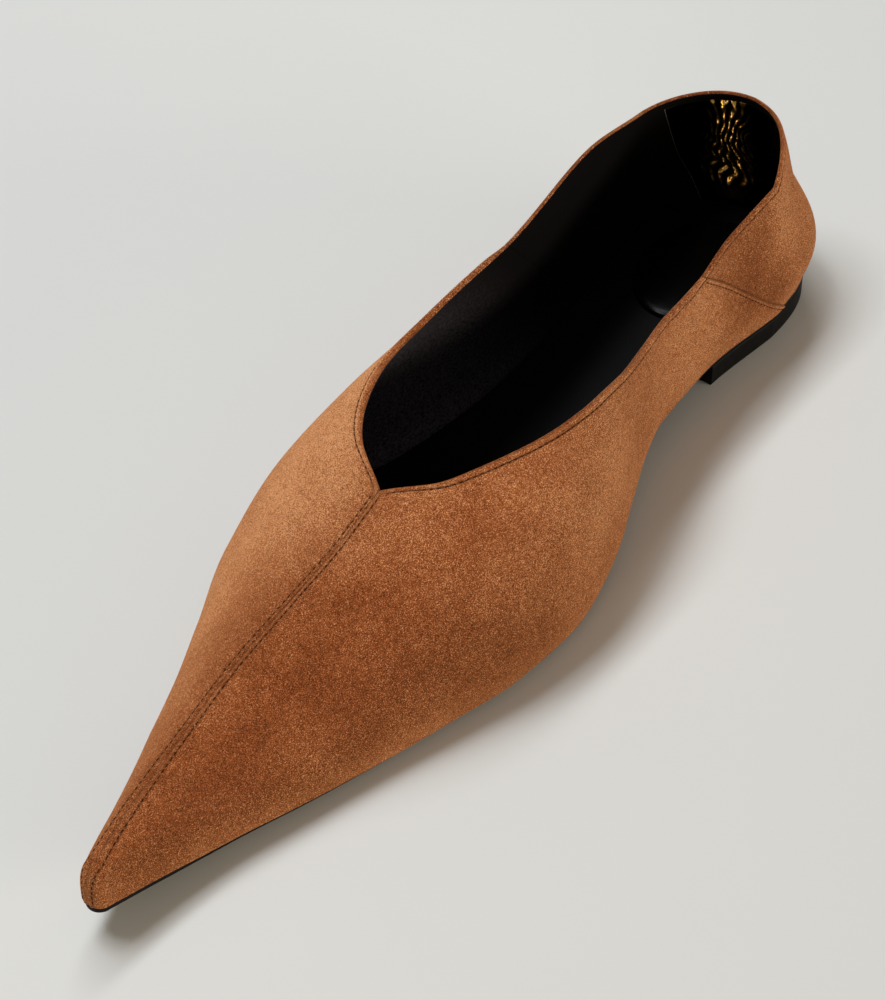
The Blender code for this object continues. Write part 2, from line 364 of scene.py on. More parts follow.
@dataclass
class Band:
    """Grid of the wall in one band: left toe, round the heel, right toe; rows run up.

    points and normals have shape (lines, rows, 3). The other fields are (lines, rows): ahead is
    the way along the wall ahead of the lap seam, to_front the way to the toe's front line, down
    the way below the topline or crest, up the way above the feather edge. collar is one behind the
    throat and nought ahead of it. left, one for each line, tells the wearer's left.
    """

    points: Array
    normals: Array
    ahead: Array
    to_front: Array
    down: Array
    up: Array
    collar: Array
    left: NDArray[np.bool_]

    def to_seam(self) -> Array:
        """Way to the front seam, which follows the crest and then the toe's front line."""
        return np.minimum(self.down, self.to_front)

    def half(self, left: bool, collar: bool) -> NDArray[np.int64]:
        """Lines of one side, behind or ahead of the throat, in order away from the throat."""
        lines = np.flatnonzero((self.left == left) & ((self.collar[:, -1] > 0.5) == collar))
        return lines if left == collar else lines[::-1]


@dataclass(frozen=True)
class WallLayout:
    """How finely the wall is drawn: grid lines round the shoe, with more of them at the lap seam."""

    last: LastShape = LastShape()
    lap: LapSeam = LapSeam()
    back_lines: int = 64
    side_lines: int = 118
    vamp_lines: int = 120
    toe_lines: int = 16
    lap_room: float = 4.2  # each side of the seam, kept for the lines below
    lap_offsets: tuple[float, ...] = (
        -3.2, -2.4, -1.7, -1.1, -0.6, -0.25, 0.0, 0.25, 0.5, 0.8, 1.1, 1.45, 1.8, 2.1, 2.4, 2.8, 3.4,
    )  # fmt: skip

    def lines(self, side: Side) -> tuple[Array, Array]:
        """Stations of one side's grid lines, back to toe.

        Args:
            side: Side of the shoe.

        Returns:
            Stations at the feather edge, and stations at the topline.
        """
        last = self.last
        vamp = np.linspace(last.throat, last.toe_centre, self.vamp_lines)[1:]
        toe = np.linspace(last.toe_centre, last.toe_front, self.toe_lines)[1:]
        made = []
        for seam in (self.lap.low[side], self.lap.top[side]):
            behind = np.linspace(last.heel_back, seam - self.lap_room, self.back_lines)
            ahead = np.linspace(seam + self.lap_room, last.throat, self.side_lines)
            made.append(np.concatenate([behind, seam + np.array(self.lap_offsets), ahead, vamp, toe]))
        return made[0], made[1]

    def band(self, shares: Array, top: Array | None = None) -> Band:
        """Draw the wall.

        Args:
            shares: Shares of the way up, one for each row.
            top: Share at which each line ends, where that is below the topline.

        Returns:
            The grid with its normals and distances.
        """
        count = len(self.lines(Side.LEFT)[0])
        ends = np.ones(2 * count - 1) if top is None else top
        points, stations = [], []
        for side in (Side.LEFT, Side.RIGHT):
            low, high = self.lines(side)
            side_ends = ends[count - 1::-1] if side is Side.LEFT else ends[count - 1:]
            v = side_ends[:, None] * shares[None, :]
            s = low[:, None] + (high - low)[:, None] * v**self.lap.bend
            points.append(self.last.point(side, s, v))
            stations.append(s)
        grid = np.concatenate([points[0][::-1], points[1][1:]])
        station = np.concatenate([stations[0][::-1], stations[1][1:]])
        round_step = np.linalg.norm(np.diff(grid, axis=0), axis=-1)
        run = np.concatenate([np.zeros((1, grid.shape[1])), np.cumsum(round_step, axis=0)])
        left_lap = count - 1 - self.back_lines - self.lap_offsets.index(0.0)
        right_lap = 2 * (count - 1) - left_lap
        left = np.arange(2 * count - 1) < count
        ahead = np.where(left[:, None], run[left_lap] - run, run - run[right_lap])
        to_front = np.where(left[:, None], run, run[-1] - run)
        up_step = np.linalg.norm(np.diff(grid, axis=1), axis=-1)
        up = np.concatenate([np.zeros((grid.shape[0], 1)), np.cumsum(up_step, axis=1)], axis=1)
        collar = (station[:, -1:] <= self.last.throat + TINY) * np.ones_like(up)
        normals = self.normals(grid, collar[:, -1] < 0.5)
        return Band(grid, normals, ahead, to_front, up[:, -1:] - up, up, collar, left)

    def normals(self, grid: Array, crest: Array) -> Array:
        """Outward normals: the way round the shoe crossed with the way up.

        Args:
            grid: Points of the band.
            crest: Lines whose top meets the other side's along the crest.

        Returns:
            Unit normals, shared by the two sides along the crest and the toe's front line.
        """
        made = unit(np.cross(np.gradient(grid, axis=0), np.gradient(grid, axis=1)))
        both = unit(made[:, -1] + made[::-1, -1])
        made[crest, -1] = both[crest]
        front = unit(made[0] + made[-1])
        made[0], made[-1] = front, front
        return made


def level_line(points: Array, normals: Array, distance: Array, level: float) -> tuple[Array, Array]:
    """Line over a surface at one level of a field that falls steadily along the second axis.

    Args:
        points: Grid of the surface.
        normals: Its normals.
        distance: The field.
        level: Its value on the line.

    Returns:
        Points and normals of the line, one for each row of the first axis.
    """
    past = np.clip((distance > level).sum(axis=1), 1, distance.shape[1] - 1)
    rows = np.arange(len(past))
    near, far = distance[rows, past - 1], distance[rows, past]
    share = np.clip((near - level) / np.where(near == far, 1.0, near - far), 0, 1)[:, None]
    places = points[rows, past - 1] * (1 - share) + points[rows, past] * share
    return places, unit(normals[rows, past - 1] * (1 - share) + normals[rows, past] * share)


@dataclass
class Skin:
    """Points, faces and point values of one piece, gathered from several grids."""

    last: LastShape = field(default_factory=LastShape)
    points: list[Array] = field(default_factory=list)
    faces: list[NDArray[np.int64]] = field(default_factory=list)
    values: dict[str, list[Array]] = field(default_factory=dict)
    count: int = 0

    def add(self, grid: Array, **values: Array) -> NDArray[np.int64]:
        """Take in a grid of points.

        Args:
            grid: Points, with a last axis of x, y and z.
            values: Point values to keep as attributes, on the same grid.

        Returns:
            The index of each point.
        """
        index = self.count + np.arange(grid[..., 0].size).reshape(grid.shape[:-1])
        self.points.append(grid.reshape(-1, 3))
        self.count += index.size
        for name, value in values.items():
            self.values.setdefault(name, []).append(value.ravel())
        return index

    def cover(self, index: NDArray[np.int64], flip: bool = False) -> None:
        """Lay faces over a grid of points.

        Args:
            index: Indices of the points. The first axis crossed with the second is outward.
            flip: Turn the faces the other way.
        """
        corners = (index[:-1, :-1], index[1:, :-1], index[1:, 1:], index[:-1, 1:])
        quads = np.stack([corner.ravel() for corner in corners], axis=-1)
        self.faces.append(quads[:, ::-1] if flip else quads)

    def piece(self, name: str, material: bpy.types.Material) -> bpy.types.Object:
        """Make the object, with coincident points welded.

        Args:
            name: Name of the piece.
            material: Its finish.

        Returns:
            The finished object, riding on the shoe.
        """
        mesh = bpy.data.meshes.new(name)
        places = self.last.to_row(np.concatenate(self.points))
        mesh.from_pydata(places.tolist(), [], np.concatenate(self.faces).tolist())
        for value_name, parts in self.values.items():
            layer = mesh.attributes.new(value_name, "FLOAT", "POINT")
            layer.data.foreach_set("value", np.concatenate(parts).astype(np.float32))
        edit = bmesh.new()
        edit.from_mesh(mesh)
        bmesh.ops.remove_doubles(edit, verts=edit.verts, dist=WELD_DISTANCE * MM)
        bmesh.ops.dissolve_degenerate(edit, edges=edit.edges, dist=SLIVER * MM)
        edit.to_mesh(mesh)
        edit.free()
        mesh.shade_smooth()
        mesh.materials.append(material)
        made = bpy.data.objects.new(name, mesh)
        bpy.context.scene.collection.objects.link(made)
        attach(made, ROOT)
        return made


def add_node(
    tree: bpy.types.NodeTree,
    kind: str,
    inputs: dict[str | int, Any] | None = None,
    **settings: Any,
) -> bpy.types.Node:
    """Add a shader node.

    Args:
        tree: Node tree of the material.
        kind: Node type without its ShaderNode prefix.
        inputs: Input name or number to a value or to the output that feeds it.
        settings: Properties of the node.

    Returns:
        The node.
    """
    node = tree.nodes.new(f"ShaderNode{kind}")
    for name, value in settings.items():
        setattr(node, name, value)
    for name, value in (inputs or {}).items():
        if isinstance(value, bpy.types.NodeSocket):
            tree.links.new(value, node.inputs[name])
        else:
            node.inputs[name].default_value = value
    return node


def new_material(name: str) -> tuple[bpy.types.Material, bpy.types.NodeTree, bpy.types.Node]:
    """Material with an empty Principled shader.

    Args:
        name: Name of the material.

    Returns:
        The material, its node tree and its shader.
    """
    made = bpy.data.materials.new(name)
    made.use_nodes = True
    return made, made.node_tree, made.node_tree.nodes["Principled BSDF"]


def per_metre(size_mm: float) -> float:
    """Texture scale at which one feature is this wide."""
    return 1 / (size_mm * MM)


@dataclass(frozen=True)
class BrushedSuede:
    """Goat suede, buffed to a short nap.

    The nap leans wherever it was last stroked, so the same hide shows light and dark patches with
    soft borders, and painted light and shade are laid into the same tone. Its fibres glow towards
    the silhouette, and single fibres show as a fine speckle.
    """

    name: str = "goat_suede_tan"
    dark: str = "#461a09"
    middle: str = "#a0562a"
    pale: str = "#efb27e"
    # Dark seam colour: pressed nap along the stitches, and painted shade in their grooves and behind the
    # lap's fold
    pressed: str = "#3a1d0d"  # along stitches and folds
    sheen_tint: str = "#ffb274"
    stroke_mm: float = 17.0
    tuft_mm: float = 1.3
    fibre_mm: float = 0.26  # real fibres are too fine to show, so these are clumps of them
    stroke_tone: float = 0.9
    tuft_tone: float = 0.8
    fibre_tone: float = 4.2
    tones: tuple[float, float] = (-1.8, 1.6)  # that the dark and the pale colour stand for
    middle_at: float = 0.53  # of the way between them
    relief_mm: float = 0.5

    def material(self) -> bpy.types.Material:
        """Make the material: colour from nap, strokes and fibres; bump from fibres and tufts.

        Returns:
            The material.
        """
        made, tree, shader = new_material(self.name)
        place = add_node(tree, "TexCoord").outputs["Object"]
        # The tone carries the nap's lie together with painted light and shade
        tone = add_node(tree, "Attribute", attribute_name="nap").outputs["Fac"]
        # Darkening along the seams: pressed nap, and painted shade in the grooves and behind the lap's fold
        pressed = add_node(tree, "Attribute", attribute_name="pressed").outputs["Fac"]
        openness = add_node(tree, "Attribute", attribute_name="open").outputs["Fac"]
        noises = []
        for size, detail, share, factor in (
            (self.stroke_mm, 4.0, self.stroke_tone, 1.0),
            (self.tuft_mm, 2.0, self.tuft_tone, 1.0),
            (self.fibre_mm, 2.0, self.fibre_tone, openness),
        ):
            noise = add_node(
                tree, "TexNoise",
                {"Vector": place, "Scale": per_metre(size), "Detail": detail, "Roughness": 0.6},
            ).outputs["Fac"]
            centred = add_node(
                tree, "MapRange", {"Value": noise, "To Min": -share, "To Max": share}
            ).outputs["Result"]
            tone = add_node(
                tree, "Math", {0: centred, 1: factor, 2: tone}, operation="MULTIPLY_ADD"
            ).outputs[0]
            noises.append(noise)
        shade = add_node(
            tree, "MapRange", {"Value": tone, "From Min": self.tones[0], "From Max": self.tones[1]}
        ).outputs["Result"]
        ramp = add_node(tree, "ValToRGB", {"Fac": shade})
        ramp.color_ramp.elements[0].color = linear(self.dark)
        ramp.color_ramp.elements[1].color = linear(self.pale)
        ramp.color_ramp.elements.new(self.middle_at).color = linear(self.middle)
        colour = add_node(
            tree, "Mix",
            {"Factor": pressed, "A": ramp.outputs["Color"], "B": linear(self.pressed)},
            data_type="RGBA",
        )
        tree.links.new(colour.outputs["Result"], shader.inputs["Base Color"])
        relief = add_node(tree, "Math", {0: noises[2], 1: noises[1]}, operation="ADD").outputs[0]
        bump = add_node(
            tree, "Bump", {"Height": relief, "Strength": 1.0, "Distance": self.relief_mm * MM}
        )
        tree.links.new(bump.outputs["Normal"], shader.inputs["Normal"])
        shader.inputs["Roughness"].default_value = 0.95
        shader.inputs["Specular IOR Level"].default_value = 0.08
        shader.inputs["Sheen Weight"].default_value = 0.5
        shader.inputs["Sheen Roughness"].default_value = 0.5
        shader.inputs["Sheen Tint"].default_value = linear(self.sheen_tint)
        return made


@dataclass(frozen=True)
class GrainedLeather:
    """Leather with a printed or natural grain: pebbles of one size, crossed by finer pores."""

    name: str
    colour: str
    lifted: str
    grain_mm: float
    roughness: float
    relief_mm: float
    shine: float = 0.15
    coat: float = 0.0
    coat_roughness: float = 0.1
    pore_share: float = 0.5  # size of a pore, as a share of the grain's
    dye_share: float = 14.0  # and of a cloud in the dye
    uneven: float = 0.08  # how much the roughness varies, either way

    def material(self) -> bpy.types.Material:
        """Make the material: cells for the pebbles, noise for pores and uneven dye.

        Returns:
            The material.
        """
        made, tree, shader = new_material(self.name)
        place = add_node(tree, "TexCoord").outputs["Object"]
        pebble = add_node(
            tree, "TexVoronoi", {"Vector": place, "Scale": per_metre(self.grain_mm)},
            feature="SMOOTH_F1",
        ).outputs["Distance"]
        pore = add_node(
            tree, "TexNoise",
            {"Vector": place, "Scale": per_metre(self.grain_mm * self.pore_share), "Detail": 3.0},
        ).outputs["Fac"]
        dye = add_node(
            tree, "TexNoise",
            {"Vector": place, "Scale": per_metre(self.grain_mm * self.dye_share), "Detail": 3.0},
        ).outputs["Fac"]
        tone = add_node(tree, "Math", {0: pore, 1: dye}, operation="MULTIPLY").outputs[0]
        ramp = add_node(tree, "ValToRGB", {"Fac": tone})
        ramp.color_ramp.elements[0].position = 0.1
        ramp.color_ramp.elements[0].color = linear(self.colour)
        ramp.color_ramp.elements[1].position = 0.5
        ramp.color_ramp.elements[1].color = linear(self.lifted)
        tree.links.new(ramp.outputs["Color"], shader.inputs["Base Color"])
        relief = add_node(tree, "Math", {0: pebble, 1: pore}, operation="ADD").outputs[0]
        bump = add_node(
            tree, "Bump", {"Height": relief, "Strength": 0.6, "Distance": self.relief_mm * MM}
        )
        tree.links.new(bump.outputs["Normal"], shader.inputs["Normal"])
        matt = add_node(
            tree, "MapRange",
            {"Value": dye, "To Min": self.roughness - self.uneven, "To Max": self.roughness + self.uneven},
        )
        tree.links.new(matt.outputs["Result"], shader.inputs["Roughness"])
        shader.inputs["Specular IOR Level"].default_value = self.shine
        shader.inputs["Coat Weight"].default_value = self.coat
        shader.inputs["Coat Roughness"].default_value = self.coat_roughness
        return made


@dataclass(frozen=True)
class LiningSuede:
    """Black lining: split leather with a dusty nap in the forepart, smooth leather behind it."""

    name: str = "lining_split_black"
    smooth_black: str = "#0e0d0d"
    napped_black: str = "#757079"
    fibre_mm: float = 0.7  # tufts: single fibres are too fine to show
    relief_mm: float = 0.12

    def material(self) -> bpy.types.Material:
        """Make the material: the nap's grey shows ahead of the lining's seam, in uneven tufts.

        Returns:
            The material.
        """
        made, tree, shader = new_material(self.name)
        place = add_node(tree, "TexCoord").outputs["Object"]
        front = add_node(tree, "Attribute", attribute_name="front").outputs["Fac"]
        tuft = add_node(
            tree, "TexNoise", {"Vector": place, "Scale": per_metre(self.fibre_mm), "Detail": 3.0}
        ).outputs["Fac"]
        dusty = add_node(
            tree, "MapRange", {"Value": tuft, "From Min": 0.25, "From Max": 0.75}
        ).outputs["Result"]
        share = add_node(tree, "Math", {0: front, 1: dusty}, operation="MULTIPLY").outputs[0]
        colour = add_node(
            tree, "Mix",
            {"Factor": share, "A": linear(self.smooth_black), "B": linear(self.napped_black)},
            data_type="RGBA",
        )
        bump = add_node(tree, "Bump", {"Height": tuft, "Strength": 0.5, "Distance": self.relief_mm * MM})
        tree.links.new(colour.outputs["Result"], shader.inputs["Base Color"])
        tree.links.new(bump.outputs["Normal"], shader.inputs["Normal"])
        shader.inputs["Roughness"].default_value = 0.9
        shader.inputs["Specular IOR Level"].default_value = 0.06
        return made


@dataclass(frozen=True)
class FoilLeather:
    """Leather with a gilt foil laid on, as a counter lining.

    Foil mirrors what is round it, so inside a black shoe it looks black, and only the facets that
    catch the light flash gold. The gold is painted only where the sheet is crinkled, which is where
    the glints fall; elsewhere the foil is painted near black so that no reflection shows there.
    """

    name: str = "foil_leather_gilt"
    colour: str = "#f2c878"
    dull: str = "#a8803a"
    # Foil colour painted near black away from the glints, so no reflection shows there
    lacquer: str = "#151310"
    cut_edge: str = "#8d8984"  # raw leather along the sheet's front edges
    fold_mm: float = 1.3  # height of one small fold
    fold_depth_mm: float = 1.8
    haze_mm: float = 1.6
    bared: tuple[float, float] = (0.1, 0.3)  # crinkling at which the painted gold starts, and is full

    def material(self) -> bpy.types.Material:
        """Make the material: small folds lie over each other like shingles, facing up, so a saw
        wave up the wall, bent by its own distortion, tips the foil where it is crinkled.

        Returns:
            The material.
        """
        made, tree, shader = new_material(self.name)
        place = add_node(tree, "TexCoord").outputs["Object"]
        crinkled = add_node(tree, "Attribute", attribute_name="crinkled").outputs["Fac"]
        folds = add_node(
            tree, "TexWave",
            {
                "Vector": place, "Scale": STRAIGHT_WAVE * per_metre(self.fold_mm),
                "Distortion": 4.0, "Detail": 1.0, "Detail Scale": 1.6,
            },
            bands_direction="Z", wave_profile="SAW",
        ).outputs["Fac"]
        haze = add_node(
            tree, "TexNoise", {"Vector": place, "Scale": per_metre(self.haze_mm), "Detail": 2.0}
        ).outputs["Fac"]
        ramp = add_node(tree, "ValToRGB", {"Fac": haze})
        ramp.color_ramp.elements[0].position = 0.35
        ramp.color_ramp.elements[0].color = linear(self.dull)
        ramp.color_ramp.elements[1].position = 0.6
        ramp.color_ramp.elements[1].color = linear(self.colour)
        # Painted reflection: gold only where crinkled, which is where the glints fall; near black elsewhere
        bared = add_node(
            tree, "MapRange", {"Value": crinkled, "From Min": self.bared[0], "From Max": self.bared[1]}
        ).outputs["Result"]
        colour = add_node(
            tree, "Mix", {"Factor": bared, "A": linear(self.lacquer), "B": ramp.outputs["Color"]},
            data_type="RGBA",
        )
        bump = add_node(
            tree, "Bump",
            {"Height": folds, "Strength": crinkled, "Distance": self.fold_depth_mm * MM}, invert=True,
        )
        cut = add_node(tree, "Attribute", attribute_name="cut").outputs["Fac"]
        edged = add_node(
            tree, "Mix",
            {"Factor": cut, "A": colour.outputs["Result"], "B": linear(self.cut_edge)}, data_type="RGBA",
        )
        foiled = add_node(tree, "Math", {0: 1.0, 1: cut}, operation="SUBTRACT")
        tree.links.new(edged.outputs["Result"], shader.inputs["Base Color"])
        tree.links.new(foiled.outputs["Value"], shader.inputs["Metallic"])
        tree.links.new(bump.outputs["Normal"], shader.inputs["Normal"])
        shader.inputs["Roughness"].default_value = 0.26
        return made


@dataclass(frozen=True)
class PatentLeather:
    """Black leather under a smooth clear lacquer: near black, with small sharp highlights."""

    name: str = "patent_leather_black"
    colour: str = "#040404"
    ripple_mm: float = 11.0
    ripple_depth_mm: float = 0.12
    gloss: tuple[float, float] = (0.14, 0.32)  # roughness between the haze's clear and dull places

    def material(self) -> bpy.types.Material:
        """Make the material: a slow ripple in the lacquer, and a haze that varies its gloss.

        Returns:
            The material.
        """
        made, tree, shader = new_material(self.name)
        place = add_node(tree, "TexCoord").outputs["Object"]
        ripple = add_node(
            tree, "TexNoise", {"Vector": place, "Scale": per_metre(self.ripple_mm), "Detail": 2.0}
        ).outputs["Fac"]
        gloss = add_node(
            tree, "MapRange", {"Value": ripple, "To Min": self.gloss[0], "To Max": self.gloss[1]}
        )
        bump = add_node(
            tree, "Bump",
            {"Height": ripple, "Strength": 0.8, "Distance": self.ripple_depth_mm * MM},
        )
        tree.links.new(gloss.outputs["Result"], shader.inputs["Roughness"])
        tree.links.new(bump.outputs["Normal"], shader.inputs["Normal"])
        shader.inputs["Base Color"].default_value = linear(self.colour)
        shader.inputs["Specular IOR Level"].default_value = 0.05
        return made


@dataclass(frozen=True)
class SewingThread:
    """Twisted polyester thread: dark, with slanting stripes that make stitches differ a little."""

    name: str = "polyester_thread_brown"
    colour: str = "#2c140a"
    lifted: str = "#4a2613"
    stripe_mm: float = 2.54  # the plies are too fine to show, so a stripe is longer than a stitch
    relief_mm: float = 0.06

    def material(self) -> bpy.types.Material:
        """Make the material: slanting stripes, in colour and bump.

        Returns:
            The material.
        """
        made, tree, shader = new_material(self.name)
        place = add_node(tree, "TexCoord").outputs["Object"]
        stripe = add_node(
            tree, "TexWave",
            {"Vector": place, "Scale": DIAGONAL_WAVE * per_metre(self.stripe_mm), "Distortion": 2.0},
            bands_direction="DIAGONAL",
        ).outputs["Fac"]
        ramp = add_node(tree, "ValToRGB", {"Fac": stripe})
        ramp.color_ramp.elements[0].color = linear(self.colour)
        ramp.color_ramp.elements[1].color = linear(self.lifted)
        bump = add_node(tree, "Bump", {"Height": stripe, "Strength": 0.5, "Distance": self.relief_mm * MM})
        tree.links.new(ramp.outputs["Color"], shader.inputs["Base Color"])
        tree.links.new(bump.outputs["Normal"], shader.inputs["Normal"])
        shader.inputs["Roughness"].default_value = 0.9
        shader.inputs["Specular IOR Level"].default_value = 0.08
        return made


@dataclass(frozen=True)
class PaleStone:
    """Honed pale stone for the floor: even, with a faint cloudiness and a soft sheen."""

    name: str = "honed_stone_pale"
    colour: str = "#cbcdcb"
    lifted: str = "#d1d3d1"
    cloud_mm: float = 180.0

    def material(self) -> bpy.types.Material:
        """Make the material: wide soft clouds between two near greys.

        Returns:
            The material.
        """
        made, tree, shader = new_material(self.name)
        place = add_node(tree, "TexCoord").outputs["Object"]
        cloud = add_node(
            tree, "TexNoise", {"Vector": place, "Scale": per_metre(self.cloud_mm), "Detail": 4.0}
        ).outputs["Fac"]
        ramp = add_node(tree, "ValToRGB", {"Fac": cloud})
        ramp.color_ramp.elements[0].color = linear(self.colour)
        ramp.color_ramp.elements[1].color = linear(self.lifted)
        tree.links.new(ramp.outputs["Color"], shader.inputs["Base Color"])
        shader.inputs["Roughness"].default_value = 0.55
        shader.inputs["Specular IOR Level"].default_value = 0.2
        return made


class Mark(NamedTuple):
    """Soft line beside a seam or an edge: its way from it, its width and its amount."""

    place: float
    width: float
    amount: float

    def at(self, way: Array) -> Array:
        """Amount at this way from the seam: a bell about the mark's place."""
        return self.amount * bell(way - self.place, self.width)


class Rise(NamedTuple):
    """Smooth change from nought at one place to one at another."""

    first: float
    last: float

    def at(self, way: Array) -> Array:
        """Share of the change that is made at this place."""
        return ease(way, self.first, self.last)


class Sway(NamedTuple):
    """Sine along a length: how much it sways, and millimetres for each radian."""

    amount: float
    length: float


class Crease(NamedTuple):
    """Soft trough between two places on the wall, each given by its station and share."""

    side: Side
    start: tuple[float, float]
    end: tuple[float, float]
    width: float
    depth: float


class NapAndLightPatch(NamedTuple):
    """Patch lighter (positive) or darker about one place on the wall: partly the nap's lie, partly painted
    light and shade.
    """

    side: Side
    place: tuple[float, float]
    length: float
    breadth: float
    tone: float


@dataclass(frozen=True)
class CounterLining:
    """Thin gilt sheet laid round the inside of the heel, crinkled where the heel bends it."""

    last: LastShape = LastShape()
    foil: FoilLeather = FoilLeather()
    shares: tuple[float, float] = (0.05, 0.93)  # of the way up the wall, at its bottom and top
    edge: tuple[float, float] = (-8.0, 20.0)  # stations of its front edges, at the wall's foot and top
    thick: float = 0.35
    clear: float = 0.02
    pared_ends: float = 0.025  # of half the sheet's length
    pared_top: float = 0.03  # of its height
    cut_width: float = 0.012  # raw edge, of half the sheet's length
    lines: int = 100  # in each half
    rows: int = 120

    # Where it is crinkled, by station and by share of the way up, and so where the painted gold shows
    crinkled_band: Mark = Mark(-16.0, 9.0, 1.0)
    crinkled_foot: Rise = Rise(0.1, 0.24)
    crinkled_even: float = 0.8
    crinkled_most: Mark = Mark(0.42, 0.22, 0.5)
    left_half: float = 0.25  # share of the right half's crinkling

    # Folds, in millimetres round the heel and up it
    fold_height: float = 0.45
    fold_pitch: float = 3.3
    fold_middle: float = 12.5  # way round the heel to where they gather
    gathered: float = 42.0  # height at which they do
    narrowest: float = 0.5  # share of the pitch that is left there
    fan_above: float = 0.75
    fan_above_length: float = 16.0
    fan_below: float = 0.3
    fan_below_length: float = 22.0
    slow_sway: Sway = Sway(1.2, 4.1)
    quick_sway: Sway = Sway(0.8, 1.7)
    looser: float = 0.9  # more of the quick sway
    looser_below: Rise = Rise(-6.0, 8.0)
    breaks: Sway = Sway(0.26, 0.9)
    break_weave: Sway = Sway(2.6, 1.3)

    def crinkled(self, s: Array, v: Array) -> Array:
        """How strongly the sheet is crinkled: a bell by station, none at its foot, most at one height.

        Args:
            s: Stations of one half's grid, from the back centre line.
            v: Shares of the way up.

        Returns:
            Strength over the whole sheet, left half first.
        """
        half = self.crinkled_band.at(s) * self.crinkled_foot.at(v)
        half *= self.crinkled_even + self.crinkled_most.at(v)
        return np.concatenate([self.left_half * half[::-1], half[1:]])

    def folds(self, grid: Array) -> Array:
        """Pattern of the folds.

        A cosine of the way round the heel makes ridges up the wall. They gather at one height, fan
        out above it and spread a little below. A slow sine and a quick one sway them, and another
        sine, itself swayed, breaks them up.

        Args:
            grid: Points of the sheet.

        Returns:
            Height of the folds, nought to one.
        """
        across = grid[..., 1] - SECTIONS[0].centre
        way = np.arctan2(across, self.last.heel_centre - grid[..., 0]) * self.last.heel_reach
        up = grid[..., 2] - self.gathered
        spread = self.narrowest + self.fan_above * ease(up, 0, self.fan_above_length)
        spread += self.fan_below * ease(-up, 0, self.fan_below_length)
        turn = 2 * np.pi * (np.abs(way) - self.fold_middle) / (self.fold_pitch * spread)
        quick = self.quick_sway.amount + self.looser * self.looser_below.at(-up)
        turn += self.slow_sway.amount * np.sin(up / self.slow_sway.length)
        turn += quick * np.sin((up + way) / self.quick_sway.length)
        weave = self.break_weave.amount * np.sin(way / self.break_weave.length)
        broken = 1 - self.breaks.amount * (1 - np.sin(up / self.breaks.length + weave))
        return (1 + np.cos(turn)) / 2 * broken

    def build(self) -> bpy.types.Object:
        """Make the sheet: its ends slant forward from insole to rim, and its edges are pared thin.

        Returns:
            The piece.
        """
        v = np.linspace(*self.shares, self.rows)
        edge = self.edge[0] + (self.edge[1] - self.edge[0]) * v
        s = self.last.heel_back + (edge - self.last.heel_back) * np.linspace(0, 1, self.lines)[:, None]
        v = np.broadcast_to(v, s.shape)
        left, right = (self.last.point(side, s, v) for side in (Side.LEFT, Side.RIGHT))
        grid = np.concatenate([left[::-1], right[1:]])
        normals = unit(np.cross(np.gradient(grid, axis=0), np.gradient(grid, axis=1)))
        crinkled = self.folds(grid) * self.crinkled(s, v)
        from_end = 1 - np.abs(np.linspace(-1, 1, len(grid)))[:, None]
        from_top = np.linspace(1, 0, self.rows)
        pared = ease(from_end, 0, self.pared_ends) * ease(from_top, 0, self.pared_top)
        cut = np.broadcast_to(ease(self.cut_width - from_end, 0, self.cut_width), crinkled.shape)
        stands = (self.thick + self.fold_height * crinkled) * pared + self.clear
        skin = Skin(self.last)
        front = skin.add(grid - normals * stands[..., None], crinkled=crinkled, cut=cut)
        back = skin.add(grid, crinkled=crinkled, cut=cut)
        skin.cover(front, flip=True)
        skin.cover(back)
        for first, second in ((front[:, 0], back[:, 0]), (back[:, -1], front[:, -1])):
            skin.cover(np.stack([first, second], axis=1))
        for first, second in ((back[0], front[0]), (front[-1], back[-1])):
            skin.cover(np.stack([first, second], axis=0))
        piece = skin.piece("counter_lining", self.foil.material())
        return piece


